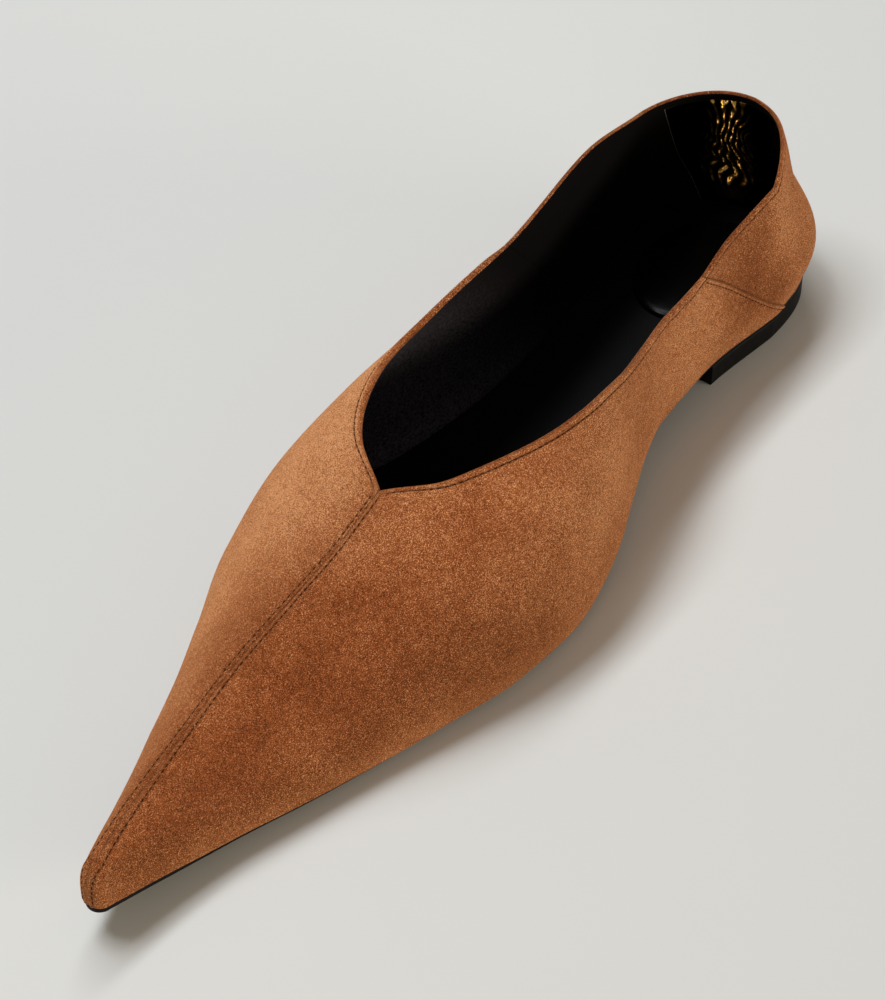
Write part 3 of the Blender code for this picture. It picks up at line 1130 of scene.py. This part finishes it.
@dataclass
class SuedeUpper:
    """Upper: vamp halves closed along the front, back panel under the vamp's lap, lining, stitches.

    The sizes of the lap are measured ahead of its edge, those of the rim and the topline down from
    it, and those of the front from its seam.
    """

    layout: WallLayout = WallLayout()
    suede: BrushedSuede = BrushedSuede()
    lining_cloth: LiningSuede = LiningSuede()
    sewing: SewingThread = SewingThread()

    # Rounded edges
    rim_round: float = 0.8
    feather_round: float = 1.1
    toe_round: float = 0.5  # share of that rounding that is left at the toe
    toe_round_end: Rise = Rise(2.0, 25.0)  # behind the toe's front line
    panel_round: float = 0.55  # share that is left along the back panel
    panel_round_end: Rise = Rise(-1.0, 3.0)

    # Lap, rolled topline and front seam
    lap_step: Rise = Rise(-0.2, 0.35)  # from the panel's thickness to the vamp's
    lap_skived: Rise = Rise(-0.5, 9.0)  # the same at the rim, where the fold is pared thin
    skived_down: Rise = Rise(1.0, 5.0)
    lap_ridge: Mark = Mark(0.6, 0.45, 0.3)
    lap_hollow: Mark = Mark(-0.8, 0.7, -0.15)
    ridge_below_rim: Rise = Rise(0.5, 4.0)
    ridge_above_sole: Rise = Rise(1.0, 7.0)
    topline_roll: Mark = Mark(0.85, 0.6, 0.16)
    front_pull: Mark = Mark(0.0, 0.36, 0.34)
    front_welt: Mark = Mark(0.7, 0.35, -0.1)

    # Stitches and their grooves
    topline_stitch: float = 1.9
    front_stitch: float = 0.88
    lap_stitch: float = 1.2
    lap_groove_end: Rise = Rise(-0.6, 0.8)  # below the topline's stitches
    groove: float = 0.2
    groove_width: float = 0.3
    pitch: float = 1.8
    stitch_length: float = 1.15
    stitch_lift: float = 0.07
    stitch_dip: float = 0.2
    stitch_rings: int = 7
    thread: float = 0.14  # radius
    thread_flat: float = 0.8  # height of its section, as a share of its width
    thread_sides: int = 8
    short_way: float = 0.2  # over which a row's direction is read

    # Nap: how dark it is along the seams, where stitching presses it and shade is painted into the
    # grooves and behind the lap's fold, and how open on the steep sides
    pressed_width: float = 0.25
    lap_pressed: float = 0.45
    lap_pressed_end: Rise = Rise(1.2, 2.4)
    # Painted shadow: a dark line just behind the vamp's folded edge at the lap
    lap_edge: Mark = Mark(-0.3, 0.26, 0.9)
    topline_pressed: float = 0.95
    front_pressed: float = 0.5
    seam_pressed: float = 0.35
    most_pressed: float = 0.9
    panel_tone: float = -0.12
    panel_tone_end: Rise = Rise(-0.3, 0.3)
    # Painted highlight: a lighter line along the lap's ridge
    lap_tone: Mark = Mark(0.5, 0.4, 0.6)
    # Painted shade on the rolled rim, darkest at its crest
    rim_tones: tuple[tuple[float, Rise], ...] = ((-0.2, Rise(0.2, 1.6)), (-0.9, Rise(0.1, 0.8)))
    open_sides: float = 0.5
    steep: Rise = Rise(0.3, 0.8)  # one minus the upward part of the normal

    # Hidden side: the suede's back, its margin under the insole, and the lining
    backing: float = 0.7  # off the last, over the lining
    back_step: int = 8  # rows of the face for each row of the back
    rim_rows: int = 14  # rows at the rim that the back keeps
    turned_under: float = 4.0
    margin_share: float = 0.6  # of the half width, near the toe
    margin_least: float = 0.4
    margin_out: float = 0.3
    margin_top: float = 0.06  # below the feather edge
    margin_low: float = 0.22
    lining_back: float = 0.57  # off the last
    lining_top: float = 0.35  # below the topline
    lining_rows: int = 40
    lining_seam: Mark = Mark(0.0, 0.5, 0.16)
    lining_step: float = 0.1
    lining_step_end: Rise = Rise(-0.4, 0.4)
    tuck: float = 0.6  # way over which the suede goes behind the lining
    dusty_from: float = 90.0  # way over which the lining's nap comes up ahead of its seam

    # Rows of the grid, in millimetres above the feather edge and below the topline
    rows_low: tuple[float, ...] = (0.0, 0.15, 0.3, 0.5, 0.75, 1.1, 1.6, 2.3)
    rows_high: tuple[float, ...] = (
        4.6, 3.9, 3.4, 3.0, 2.7, 2.4, 2.1, 1.8, 1.5, 1.2, 0.9, 0.7, 0.5, 0.33, 0.2, 0.1, 0.04, 0.0,
    )  # fmt: skip
    rows_between: int = 44
    row_scale: float = 56.0  # typical way up the wall
    path_points: int = 25
    crease_ends: tuple[float, float] = (0.04, 0.96)  # of the half sine that fades a crease

    creases: tuple[Crease, ...] = (
        Crease(Side.LEFT, (277.6, 0.46), (281.4, 0.37), 0.7, 0.2),
        Crease(Side.LEFT, (279.6, 0.30), (283.4, 0.16), 0.7, 0.16),
        Crease(Side.LEFT, (283.1, 0.31), (286.4, 0.11), 0.7, 0.2),
        Crease(Side.LEFT, (-22.0, 0.75), (-6.0, 0.60), 4.0, 0.7),
        Crease(Side.LEFT, (8.0, 0.92), (14.0, 0.30), 5.0, 0.5),
        Crease(Side.RIGHT, (4.0, 0.90), (10.0, 0.30), 5.0, 0.5),
        Crease(Side.LEFT, (112.0, 0.82), (104.0, 0.25), 9.0, 0.5),
        Crease(Side.RIGHT, (118.0, 0.80), (110.0, 0.25), 9.0, 0.5),
    )
    # Partly the nap's lie and partly painted light and shade: the far side and the near quarter are painted
    # lighter where light falls on them, the near wall's foot and the toe painted darker.
    patches: tuple[NapAndLightPatch, ...] = (
        NapAndLightPatch(Side.LEFT, (218.0, 0.66), 36.0, 18.0, -0.8),
        NapAndLightPatch(Side.LEFT, (262.0, 0.50), 24.0, 12.0, -0.6),
        NapAndLightPatch(Side.LEFT, (203.0, 0.30), 30.0, 12.0, -0.45),
        NapAndLightPatch(Side.LEFT, (172.0, 0.12), 36.0, 10.0, -0.9),
        NapAndLightPatch(Side.LEFT, (44.0, 0.48), 8.0, 15.0, -1.3),
        NapAndLightPatch(Side.LEFT, (31.0, 0.24), 7.0, 9.0, -1.0),
        NapAndLightPatch(Side.LEFT, (26.0, 0.72), 6.0, 16.0, 0.6),
        NapAndLightPatch(Side.LEFT, (232.0, 0.10), 44.0, 9.0, -0.6),
        NapAndLightPatch(Side.LEFT, (276.0, 0.35), 14.0, 10.0, -0.35),
        NapAndLightPatch(Side.LEFT, (68.0, 0.55), 16.0, 16.0, 0.6),
        NapAndLightPatch(Side.LEFT, (136.0, 0.50), 24.0, 12.0, 0.3),
        NapAndLightPatch(Side.LEFT, (174.0, 0.36), 20.0, 11.0, -0.5),
        NapAndLightPatch(Side.RIGHT, (165.0, 0.75), 46.0, 22.0, 0.95),
        NapAndLightPatch(Side.RIGHT, (205.0, 0.30), 40.0, 16.0, 0.4),
    )

    def band(self) -> Band:
        """Fine grid of the wall, with rows crowded at the feather edge and at the topline.

        Returns:
            The grid.
        """
        low = np.array(self.rows_low) / self.row_scale
        high = 1 - np.array(self.rows_high) / self.row_scale
        middle = np.linspace(low[-1], high[0], self.rows_between)[1:-1]
        return self.layout.band(np.concatenate([low, middle, high]))

    def along_wall(self, side: Side, start: tuple[float, float], end: tuple[float, float]) -> Array:
        """Line over the last, straight in station and share.

        Args:
            side: Side of the shoe.
            start: Station and share of its start.
            end: Station and share of its end.

        Returns:
            Points of the line.
        """
        places = np.linspace(start, end, self.path_points)
        return self.layout.last.point(side, places[:, 0], places[:, 1])

    def crease_depth(self, band: Band) -> Array:
        """How far the creases sink the wall.

        Each is its depth times a bell of the distance to its line, fading out at both ends by half
        a sine. Where creases cross, they add up.

        Args:
            band: Grid of the wall.

        Returns:
            Depth on the grid.
        """
        total = np.zeros_like(band.up)
        fade = np.sin(np.pi * np.linspace(*self.crease_ends, self.path_points))
        for crease in self.creases:
            path = self.along_wall(crease.side, crease.start, crease.end)
            away = np.linalg.norm(band.points[:, :, None, :] - path, axis=-1)
            total += crease.depth * (fade * bell(away, crease.width)).max(axis=-1)
        return total

    def nap(self, band: Band) -> Array:
        """Tone of the suede: which way the nap lies, with painted light and shade laid over it.

        Each patch is a bell of the distance from its place, longer along the shoe than up the
        wall; many of them are painted light or shade. The back panel is darker, the crest of the
        rim carries painted shade and the lap's ridge a painted highlight.

        Args:
            band: Grid of the wall.

        Returns:
            Tone on the grid; nought is the hide's middle tone.
        """
        tone = self.panel_tone * (1 - self.panel_tone_end.at(band.ahead)) + self.lap_tone.at(band.ahead)
        for amount, end in self.rim_tones:
            tone += amount * (1 - end.at(band.down)) * band.collar
        for patch in self.patches:
            middle = self.along_wall(patch.side, patch.place, patch.place)[0]
            away = (band.points - middle) / np.array([patch.length, patch.breadth, patch.breadth])
            tone += patch.tone * bell(np.linalg.norm(away, axis=-1), 1.0)
        return tone

    def openness(self, band: Band) -> Array:
        """Strength of the nap's speckle: the hide is stretched flat on top and open on steep sides."""
        return 1 + self.open_sides * self.steep.at(1 - band.normals[..., 2])

    def pressed(self, band: Band) -> Array:
        """Where the suede is darkened: bells about every line of stitches and the front seam, where
        stitching presses the nap and shade is painted into the grooves, and a painted shadow behind the
        lap's edge.

        Args:
            band: Grid of the wall.

        Returns:
            Share of the dark seam colour on the grid.
        """
        line, to_seam = self.pressed_width, band.to_seam()
        lap = self.lap_pressed * bell(band.ahead - self.lap_stitch, line)
        lap = lap * self.lap_pressed_end.at(band.down) + self.lap_edge.at(band.ahead)
        top = self.topline_pressed * bell(band.down - self.topline_stitch, line) * band.collar
        front = self.front_pressed * bell(to_seam - self.front_stitch, line)
        front += self.seam_pressed * bell(to_seam, line)
        return np.clip(lap + top + front * (1 - band.collar), 0, self.most_pressed)

    def thickness(self, band: Band) -> Array:
        """Wall thickness: it steps up at the lap from the back panel's to the vamp's, over a longer
        way under the rim, where the fold is skived.

        Args:
            band: Grid of the wall.

        Returns:
            Thickness on the grid.
        """
        last = self.layout.last
        below = self.skived_down.at(band.down)
        step = self.lap_step.at(band.ahead) * below + self.lap_skived.at(band.ahead) * (1 - below)
        return last.panel_wall + (last.wall - last.panel_wall) * step

    def rim_curl(self, band: Band) -> Array:
        """How far the rim's round has turned over: a quarter circle, nought below it and one on top."""
        rim = np.clip(1 - band.down / self.rim_round, 0, 1)
        return 1 - np.sqrt(1 - rim**2)

    def outer(self, band: Band) -> Array:
        """How far the suede's face stands off the last.

        The vamp is thicker than the back panel and ends behind in a rounded fold with a ridge. The
        topline is rolled, the front seam is pulled in, every stitch line lies in a groove, and
        the wall rounds off at the rim and at the feather edge.

        Args:
            band: Grid of the wall.

        Returns:
            Height off the last, on the grid.
        """
        lap, to_seam = band.ahead, band.to_seam()
        height = self.thickness(band) - self.crease_depth(band)
        ridge = self.lap_ridge.at(lap) + self.lap_hollow.at(lap)
        height += ridge * self.ridge_below_rim.at(band.down) * self.ridge_above_sole.at(band.up)
        below_roll = self.lap_groove_end.at(band.down - self.topline_stitch)
        height -= self.groove * bell(lap - self.lap_stitch, self.groove_width) * below_roll
        rolled = self.topline_roll.at(band.down)
        rolled -= self.groove * bell(band.down - self.topline_stitch, self.groove_width)
        pulled = self.front_pull.at(to_seam) + self.front_welt.at(to_seam)
        pulled += self.groove * bell(to_seam - self.front_stitch, self.groove_width)
        height += rolled * band.collar - pulled * (1 - band.collar)
        at_toe = self.toe_round + (1 - self.toe_round) * self.toe_round_end.at(band.to_front)
        at_panel = self.panel_round + (1 - self.panel_round) * self.panel_round_end.at(lap)
        rounding = self.feather_round * at_toe * at_panel
        foot = np.clip(1 - band.up / rounding, 0, 1)
        height -= rounding * (1 - np.sqrt(1 - foot**2))
        return height * (1 - self.rim_curl(band) * band.collar / 2)

    def inner(self, band: Band) -> Array:
        """How far the back of the suede stands off the last: it comes over the rim to the inside,
        then tucks behind the lining.

        Args:
            band: Grid of the wall.

        Returns:
            Height off the last, on the grid.
        """
        over = self.thickness(band) / 2 * self.rim_curl(band)
        tuck = ease(band.down, self.lining_top, self.lining_top + self.tuck)
        return np.where(band.collar > 0.5, over * (1 - tuck) + self.backing * tuck, self.backing)

    def lasting_margin(self, band: Band) -> Array:
        """Suede turned in under the insole: from the back of the wall in to the margin's edge, and
        out again a little lower; near the toe the margin narrows with the sole.

        Args:
            band: Grid of the wall.

        Returns:
            Points, with axes grid line, row and coordinate.
        """
        edge = band.points[:, 0]
        inward = -band.normals[:, 0] * np.array([1.0, 1.0, 0.0])
        half = np.abs(edge[:, 1] - smooth(SECTIONS, "centre", edge[:, 0]))
        room = np.minimum(self.turned_under, self.margin_share * half + self.margin_least)[:, None]
        rows = ((room, self.margin_top), (room, self.margin_low), (-self.margin_out, self.margin_low))
        return np.stack([edge + inward * way - np.array([0.0, 0.0, drop]) for way, drop in rows], axis=1)

    def build_suede(self, band: Band, outer: Array) -> bpy.types.Object:
        """Closed shell of suede.

        Args:
            band: Grid of the wall.
            outer: Points of its face.

        Returns:
            The piece.
        """
        count = band.up.shape[1]
        rows = np.r_[0:count - self.rim_rows:self.back_step, count - self.rim_rows:count]
        behind = band.points + band.normals * self.inner(band)[..., None]
        under = self.lasting_margin(band)
        finish = {"nap": self.nap(band), "pressed": self.pressed(band), "open": self.openness(band)}
        skin = Skin(self.layout.last)
        face = skin.add(outer, **finish)
        back = skin.add(behind[:, rows], **{name: value[:, rows] for name, value in finish.items()})
        turned = skin.add(under, **dict.fromkeys(finish, np.zeros(under.shape[:2])))
        skin.cover(face)
        skin.cover(back, flip=True)
        skin.cover(np.concatenate([back[:, :1], turned, face[:, :1]], axis=1))
        piece = skin.piece("suede_upper", self.suede.material())
        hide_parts("upper")
        return piece

    def build_lining(self, band: Band) -> bpy.types.Object:
        """Thin black lining from the rim down to the sole, with the seam of its back part.

        Args:
            band: Grid of the wall.

        Returns:
            The piece.
        """
        top = np.where(band.collar[:, -1] > 0.5, 1 - self.lining_top / band.up[:, -1], 1.0)
        lined = self.layout.band(np.linspace(0, 1, self.lining_rows), top)
        front = ease(lined.ahead, 0, self.dusty_from)
        seam = self.lining_seam.at(lined.ahead) + self.lining_step * self.lining_step_end.at(lined.ahead)
        skin = Skin(self.layout.last)
        face = skin.add(lined.points + lined.normals * seam[..., None], front=front)
        back = skin.add(lined.points + lined.normals * self.lining_back, front=front)
        skin.cover(face, flip=True)
        skin.cover(back)
        for first, second in ((face[:, 0], back[:, 0]), (back[:, -1], face[:, -1])):
            skin.cover(np.stack([first, second], axis=1))
        piece = skin.piece("lining", self.lining_cloth.material())
        return piece

    def across(
        self, band: Band, outer: Array, lines: NDArray[np.int64], distance: Array, level: float
    ) -> tuple[Array, Array]:
        """Line that runs up the wall, across the grid lines.

        Args:
            band: Grid of the wall.
            outer: Points of the suede's face.
            lines: Grid lines to look through, in the order in which the field falls.
            distance: The field.
            level: Its value on the line.

        Returns:
            Points and normals of the line, one for each row of the grid.
        """
        return level_line(
            outer[lines].swapaxes(0, 1), band.normals[lines].swapaxes(0, 1), distance[lines].T, level
        )

    def stitch_rows(self, band: Band, outer: Array) -> dict[str, list[tuple[Array, Array]]]:
        """Paths of the stitch rows with their normals.

        Args:
            band: Grid of the wall.
            outer: Points of the suede's face.

        Returns:
            For each kind of row, its paths.
        """
        top, top_normals = level_line(outer, band.normals, band.down, self.topline_stitch)
        front, front_normals = level_line(outer, band.normals, band.down, self.front_stitch)
        collar = band.collar[:, -1] > 0.5
        fronts, laps = [], []
        for left in (True, False):
            ahead = band.half(left, collar=False)
            crest = ahead[band.to_front[ahead, -1] > self.front_stitch]
            path, normals = self.across(band, outer, ahead, band.to_front, self.front_stitch)
            low = slice(-np.count_nonzero(band.down[ahead[-1]] < self.front_stitch) - 1, None, -1)
            path = np.concatenate([front[crest], path[low]])
            fronts.append((path, np.concatenate([front_normals[crest], normals[low]])))
            behind = band.half(left, collar=True)
            path, normals = self.across(band, outer, behind, band.ahead, self.lap_stitch)
            shown = band.down[behind[0]] > self.topline_stitch
            laps.append((path[shown], normals[shown]))
        tops = [(top[collar], top_normals[collar])]
        return {"topline_stitches": tops, "front_stitches": fronts, "lap_stitches": laps}

    def stitch_grid(self, path: Array, normals: Array) -> Array:
        """Stitches along a path.

        Each stitch is a spindle: rings of thread whose radius follows the root of one minus the
        sixth power of the way along. Its middle dips into the hide by the fourth power of it.

        Args:
            path: Points of the row.
            normals: Outward normals there.

        Returns:
            Points with axes stitch, ring, side of the thread and coordinate.
        """
        steps = np.linalg.norm(np.diff(path, axis=0), axis=-1)
        run = np.concatenate([[0.0], np.cumsum(steps)])
        middles = np.arange(self.pitch, run[-1] - self.pitch / 2, self.pitch)
        t = np.sin(np.pi / 2 * np.linspace(-1, 1, self.stitch_rings))
        at = middles[:, None] + t * self.stitch_length / 2

        def read(values: Array, where: Array) -> Array:
            """Values along the path at these distances."""
            return np.stack([np.interp(where, run, values[:, axis]) for axis in range(3)], axis=-1)

        out = unit(read(normals, at))
        way = unit(read(path, at + self.short_way) - read(path, at - self.short_way))
        sideways = unit(np.cross(way, out))
        radius = self.thread * np.sqrt(np.clip(1 - t**6, 0, 1))
        lift = self.stitch_lift - self.stitch_dip * t**4
        turn = np.linspace(0, 2 * np.pi, self.thread_sides + 1)[None, None, :, None]
        ring = np.cos(turn) * out[:, :, None, :] * self.thread_flat + np.sin(turn) * sideways[:, :, None, :]
        middle = read(path, at) + out * lift[None, :, None]
        return middle[:, :, None, :] + ring * radius[None, :, None, None]

    def build_stitches(self, band: Band, outer: Array) -> list[bpy.types.Object]:
        """Sew every row.

        Args:
            band: Grid of the wall.
            outer: Points of the suede's face.

        Returns:
            One piece for each kind of row.
        """
        thread = self.sewing.material()
        pieces = []
        for name, paths in self.stitch_rows(band, outer).items():
            skin = Skin(self.layout.last)
            for path, normals in paths:
                for stitch in self.stitch_grid(path, normals):
                    skin.cover(skin.add(stitch), flip=True)
            pieces.append(skin.piece(name, thread))
        return pieces

    def build(self) -> list[bpy.types.Object]:
        """Make every piece of the upper.

        Returns:
            The pieces.
        """
        band = self.band()
        outer = band.points + band.normals * self.outer(band)[..., None]
        counter = CounterLining(self.layout.last)
        made = [self.build_suede(band, outer), self.build_lining(band), counter.build()]
        return made + self.build_stitches(band, outer)


@dataclass
class Underside:
    """What lies under the foot: sock-covered insole, heel pad, outsole and heel block."""

    last: LastShape = LastShape()
    gap: float = 0.3
    insole_inset: float = 0.5
    insole_thick: float = 3.0
    insole_round: float = 0.6
    outsole_thick: float = 2.3
    edge_round: float = 0.7
    toe_ledge: float = 0.4
    ledge_from: Rise = Rise(245.0, 288.0)  # stations
    breast: float = 55.0  # station of the heel's front face
    heel_clear: float = 0.02
    heel_round: float = 0.5
    heel_crisp: float = 50.0  # degrees; edges sharper than this stay crisp
    pad_centre: tuple[float, float] = (31.5, -3.0)
    pad_radii: tuple[float, float] = (21.5, 16.0)
    pad_thick: float = 1.0
    pad_clear: float = 0.1
    pad_crown: float = 0.25
    pad_power: int = 36  # the higher, the tighter the round of its rim
    pad_rings: int = 26
    pad_sides: int = 96
    lines: int = 220
    toe_lines: int = 12
    corner_steps: int = 6
    across_steps: int = 12
    patent: PatentLeather = PatentLeather()
    sock: GrainedLeather = GrainedLeather(
        "sock_leather_black", colour="#020202", lifted="#060606",
        grain_mm=0.7, roughness=0.85, relief_mm=0.1,
    )
    sole_leather: GrainedLeather = GrainedLeather(
        "sole_leather_black", colour="#040404", lifted="#0c0b0b",
        grain_mm=0.5, roughness=0.6, relief_mm=0.05,
    )
    heel_lacquer: GrainedLeather = GrainedLeather(
        "heel_lacquer_black", colour="#020202", lifted="#060505",
        grain_mm=0.5, roughness=0.55, relief_mm=0.03, shine=0.1, coat=0.04, coat_roughness=0.35,
    )

    def insole_edge(self, side: Side, s: Array) -> Array:
        """How far the insole's edge stands out past the cavity: a little inside it."""
        return np.full_like(s, -self.insole_inset)

    def outsole_edge(self, side: Side, s: Array) -> Array:
        """How far the outsole's edge stands out past the cavity: a ledge shows round the toe."""
        return self.last.sole_edge(side, s) + self.toe_ledge * self.ledge_from.at(s)

    def slab(
        self,
        first: float,
        last: float,
        edge: Callable[[Side, Array], Array],
        top: float,
        thick: float,
        rounding: float,
    ) -> Array:
        """Ring of points round the slab's section at each station.

        The ring goes across the top, down the rounded right edge, back across the bottom and up
        the left edge. At the heel and the toe both edges meet, so the ring closes to a line.

        Args:
            first: First station.
            last: Last station.
            edge: How far the edge stands out past the cavity, by side and station.
            top: Height of the top over the feather edge.
            thick: Thickness.
            rounding: Radius of the edges.

        Returns:
            Points with axes station, place in the ring and coordinate.
        """
        shape = self.last
        s = np.unique(np.concatenate([
            np.linspace(first, last, self.lines),
            np.linspace(shape.toe_centre, last, self.toe_lines) if last > shape.toe_centre else [last],
        ]))
        corner = np.linspace(0, np.pi / 2, self.corner_steps)
        out = np.concatenate([np.sin(corner), np.cos(corner)]) - 1
        down = np.concatenate([1 - np.cos(corner), thick / rounding - 1 + np.sin(corner)])
        share = np.linspace(0, 1, self.across_steps + 1)[1:-1, None]
        rows = []
        for side, order in ((Side.RIGHT, slice(None)), (Side.LEFT, slice(None, None, -1))):
            rim = shape.reach(side, s) + edge(side, s)
            distance = np.maximum(rim[:, None] + rounding * out[order], 0)
            plan = shape.plan_point(side, np.broadcast_to(s[:, None], distance.shape), distance)
            height = np.broadcast_to(-rounding * down[order], distance.shape)
            rows.append(np.concatenate([plan, height[..., None]], axis=-1))
        right, left = rows
        across_top = left[:, -1:] + (right[:, :1] - left[:, -1:]) * share
        across_low = right[:, -1:] + (left[:, :1] - right[:, -1:]) * share
        ring = np.concatenate([across_top, right, across_low, left, across_top[:, :1]], axis=1)
        ring[..., 2] += shape.seat(ring[..., 0]) + top
        return ring

    def build_insole(self) -> bpy.types.Object:
        """Insole under its sock, with a softly rounded edge.

        Returns:
            The piece.
        """
        ring = self.slab(
            self.last.heel_back, self.last.toe_front, self.insole_edge, self.insole_thick,
            self.insole_thick, self.insole_round,
        )
        skin = Skin(self.last)
        skin.cover(skin.add(ring), flip=True)
        piece = skin.piece("insole_sock", self.sock.material())
        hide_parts("insole")
        return piece

    def build_pad(self) -> bpy.types.Object:
        """Heel pad: an oval that domes by a high power of the way out, so only its rim is round.

        Returns:
            The piece.
        """
        out = np.sin(np.pi / 2 * np.linspace(0, 1, self.pad_rings))[:, None]
        turn = np.linspace(0, 2 * np.pi, self.pad_sides + 1)
        base = FEATHER[0].height + self.insole_thick + self.pad_clear
        x = self.pad_centre[0] + self.pad_radii[0] * out * np.cos(turn)
        y = self.pad_centre[1] + self.pad_radii[1] * out * np.sin(turn)
        dome = (self.pad_thick + self.gap) * np.sqrt(1 - out**self.pad_power)
        dome += self.pad_crown * (1 - out**2)
        top = np.stack([x, y, base + dome * np.ones_like(turn)], axis=-1)
        floor = np.stack([x, y, np.full_like(x, base)], axis=-1)
        skin = Skin(self.last)
        skin.cover(skin.add(top))
        skin.cover(skin.add(floor), flip=True)
        piece = skin.piece("heel_pad_patent", self.patent.material())
        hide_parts("heel_pad")
        return piece

    def build_outsole(self) -> bpy.types.Object:
        """Thin outsole with a dressed, rounded edge.

        Returns:
            The piece.
        """
        ring = self.slab(
            self.last.heel_back, self.last.toe_front, self.outsole_edge, -self.gap,
            self.outsole_thick, self.edge_round,
        )
        skin = Skin(self.last)
        skin.cover(skin.add(ring), flip=True)
        piece = skin.piece("outsole_dressed", self.sole_leather.material())
        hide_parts("outsole")
        return piece

    def build_heel(self) -> bpy.types.Object:
        """Heel block: the slab's rings down to the floor, closed by a flat breast in front.

        Returns:
            The piece.
        """
        drop = self.gap + self.outsole_thick + self.heel_clear
        ring = self.slab(
            self.last.heel_back, self.breast, self.last.sole_edge, -drop,
            FEATHER[0].height - drop, self.heel_round,
        )
        breast = ring[-1:].copy()
        breast[..., 1] = ring[-1, :, 1].mean()
        skin = Skin(self.last)
        skin.cover(skin.add(np.concatenate([ring, breast])), flip=True)
        piece = skin.piece("heel_block", self.heel_lacquer.material())
        piece.data.set_sharp_from_angle(angle=np.radians(self.heel_crisp))
        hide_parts("heel")
        return piece

    def build(self) -> list[bpy.types.Object]:
        """Make every piece under the foot."""
        return [self.build_insole(), self.build_pad(), self.build_outsole(), self.build_heel()]


@dataclass
class AreaLamp:
    """Oblong soft light, with the point that it looks at."""

    name: str
    place: tuple[float, float, float]
    size: tuple[float, float]
    power: float
    colour: str
    aim: tuple[float, float, float] = (0.116, 0.0, 0.02)


@dataclass
class Studio:
    """Pale floor, soft light and the camera at the photograph's angle. Row frame, metres."""

    target: tuple[float, float, float] = (0.11642, -0.00127, 0.020)
    azimuth: float = 36.93  # degrees from the toe's direction towards the wearer's left
    elevation: float = 47.38
    distance: float = 0.80851
    focal_pixels: float = 3220.5
    image_height: int = 1000
    sensor: float = 36.0
    floor_size: float = 6.0
    ambient: str = "#fff1de"
    ambient_strength: float = 0.22
    stone: PaleStone = PaleStone()
    lamps: tuple[AreaLamp, ...] = (
        AreaLamp("key_head", (0.37, -0.48, 1.40), (0.65, 0.35), 13.4, "#f8fbff", (0.37, 0.0, 0.02)),
        AreaLamp("key_tail", (-0.43, -0.55, 1.40), (1.0, 0.2), 9.0, "#f8fbff", (-0.43, 0.0, 0.02)),
        AreaLamp("near_fill", (-0.6, 2.7, 0.56), (1.8, 0.6), 45.0, "#fff0de"),
        AreaLamp("low_glow", (1.35, 0.12, 0.26), (0.35, 0.25), 2.2, "#ffdcaa"),
    )

    def axes(self) -> Array:
        """Camera axes, from its turn about the shoe and its rise over the floor.

        Returns:
            Right, up and back, as columns.
        """
        turn, rise = np.radians(self.azimuth), np.radians(self.elevation)
        back = np.array([np.cos(rise) * np.cos(turn), np.cos(rise) * np.sin(turn), np.sin(rise)])
        right = np.array([-np.sin(turn), np.cos(turn), 0.0])
        return np.stack([right, np.cross(back, right), back], axis=1)

    def build_camera(self) -> None:
        """Set the camera: its lens is the focal length in pixels scaled to the sensor."""
        data = bpy.data.cameras.new("photo_camera")
        data.sensor_width = self.sensor
        data.lens = self.focal_pixels * self.sensor / self.image_height
        camera = bpy.data.objects.new("photo_camera", data)
        place = np.array(self.target) + self.axes()[:, 2] * self.distance
        camera.matrix_world = Matrix.Translation(place.tolist()) @ Matrix(self.axes().tolist()).to_4x4()
        bpy.context.scene.collection.objects.link(camera)
        bpy.context.scene.camera = camera

    def build_lamps(self) -> None:
        """Set the lamps, each turned to its point, and the even light of the room."""
        for lamp in self.lamps:
            data = bpy.data.lights.new(lamp.name, "AREA")
            data.shape = "RECTANGLE"
            data.size, data.size_y = lamp.size
            data.energy = lamp.power
            data.color = linear(lamp.colour)[:3]
            made = bpy.data.objects.new(lamp.name, data)
            back = unit(np.array(lamp.place) - np.array(lamp.aim))
            right = unit(np.cross([0.0, 0.0, 1.0], back))
            turned = Matrix(np.stack([right, np.cross(back, right), back], axis=1).tolist()).to_4x4()
            made.matrix_world = Matrix.Translation(lamp.place) @ turned
            bpy.context.scene.collection.objects.link(made)
        room = bpy.data.worlds.new("soft_room")
        room.use_nodes = True
        sky = room.node_tree.nodes["Background"]
        sky.inputs["Color"].default_value = linear(self.ambient)
        sky.inputs["Strength"].default_value = self.ambient_strength
        bpy.context.scene.world = room

    def build_floor(self) -> None:
        """Lay the floor at height nought."""
        half = self.floor_size / 2
        mesh = bpy.data.meshes.new("pale_floor")
        corners = [(-half, -half, 0.0), (half, -half, 0.0), (half, half, 0.0), (-half, half, 0.0)]
        mesh.from_pydata(corners, [], [(0, 1, 2, 3)])
        mesh.materials.append(self.stone.material())
        floor = bpy.data.objects.new("pale_floor", mesh)
        bpy.context.scene.collection.objects.link(floor)

    def build(self) -> None:
        """Set the whole stage, shown without a film curve."""
        self.build_camera()
        self.build_lamps()
        self.build_floor()
        bpy.context.scene.view_settings.view_transform = "Standard"


def main() -> None:
    """Build the stage and every piece."""
    logging.basicConfig(level=logging.INFO, format="%(name)s: %(message)s")
    Studio().build()
    for assembly in (SuedeUpper(), Underside()):
        for piece in assembly.build():
            log.info("%s: %d faces", piece.name, len(piece.data.polygons))


if __name__ == "__main__":
    main()
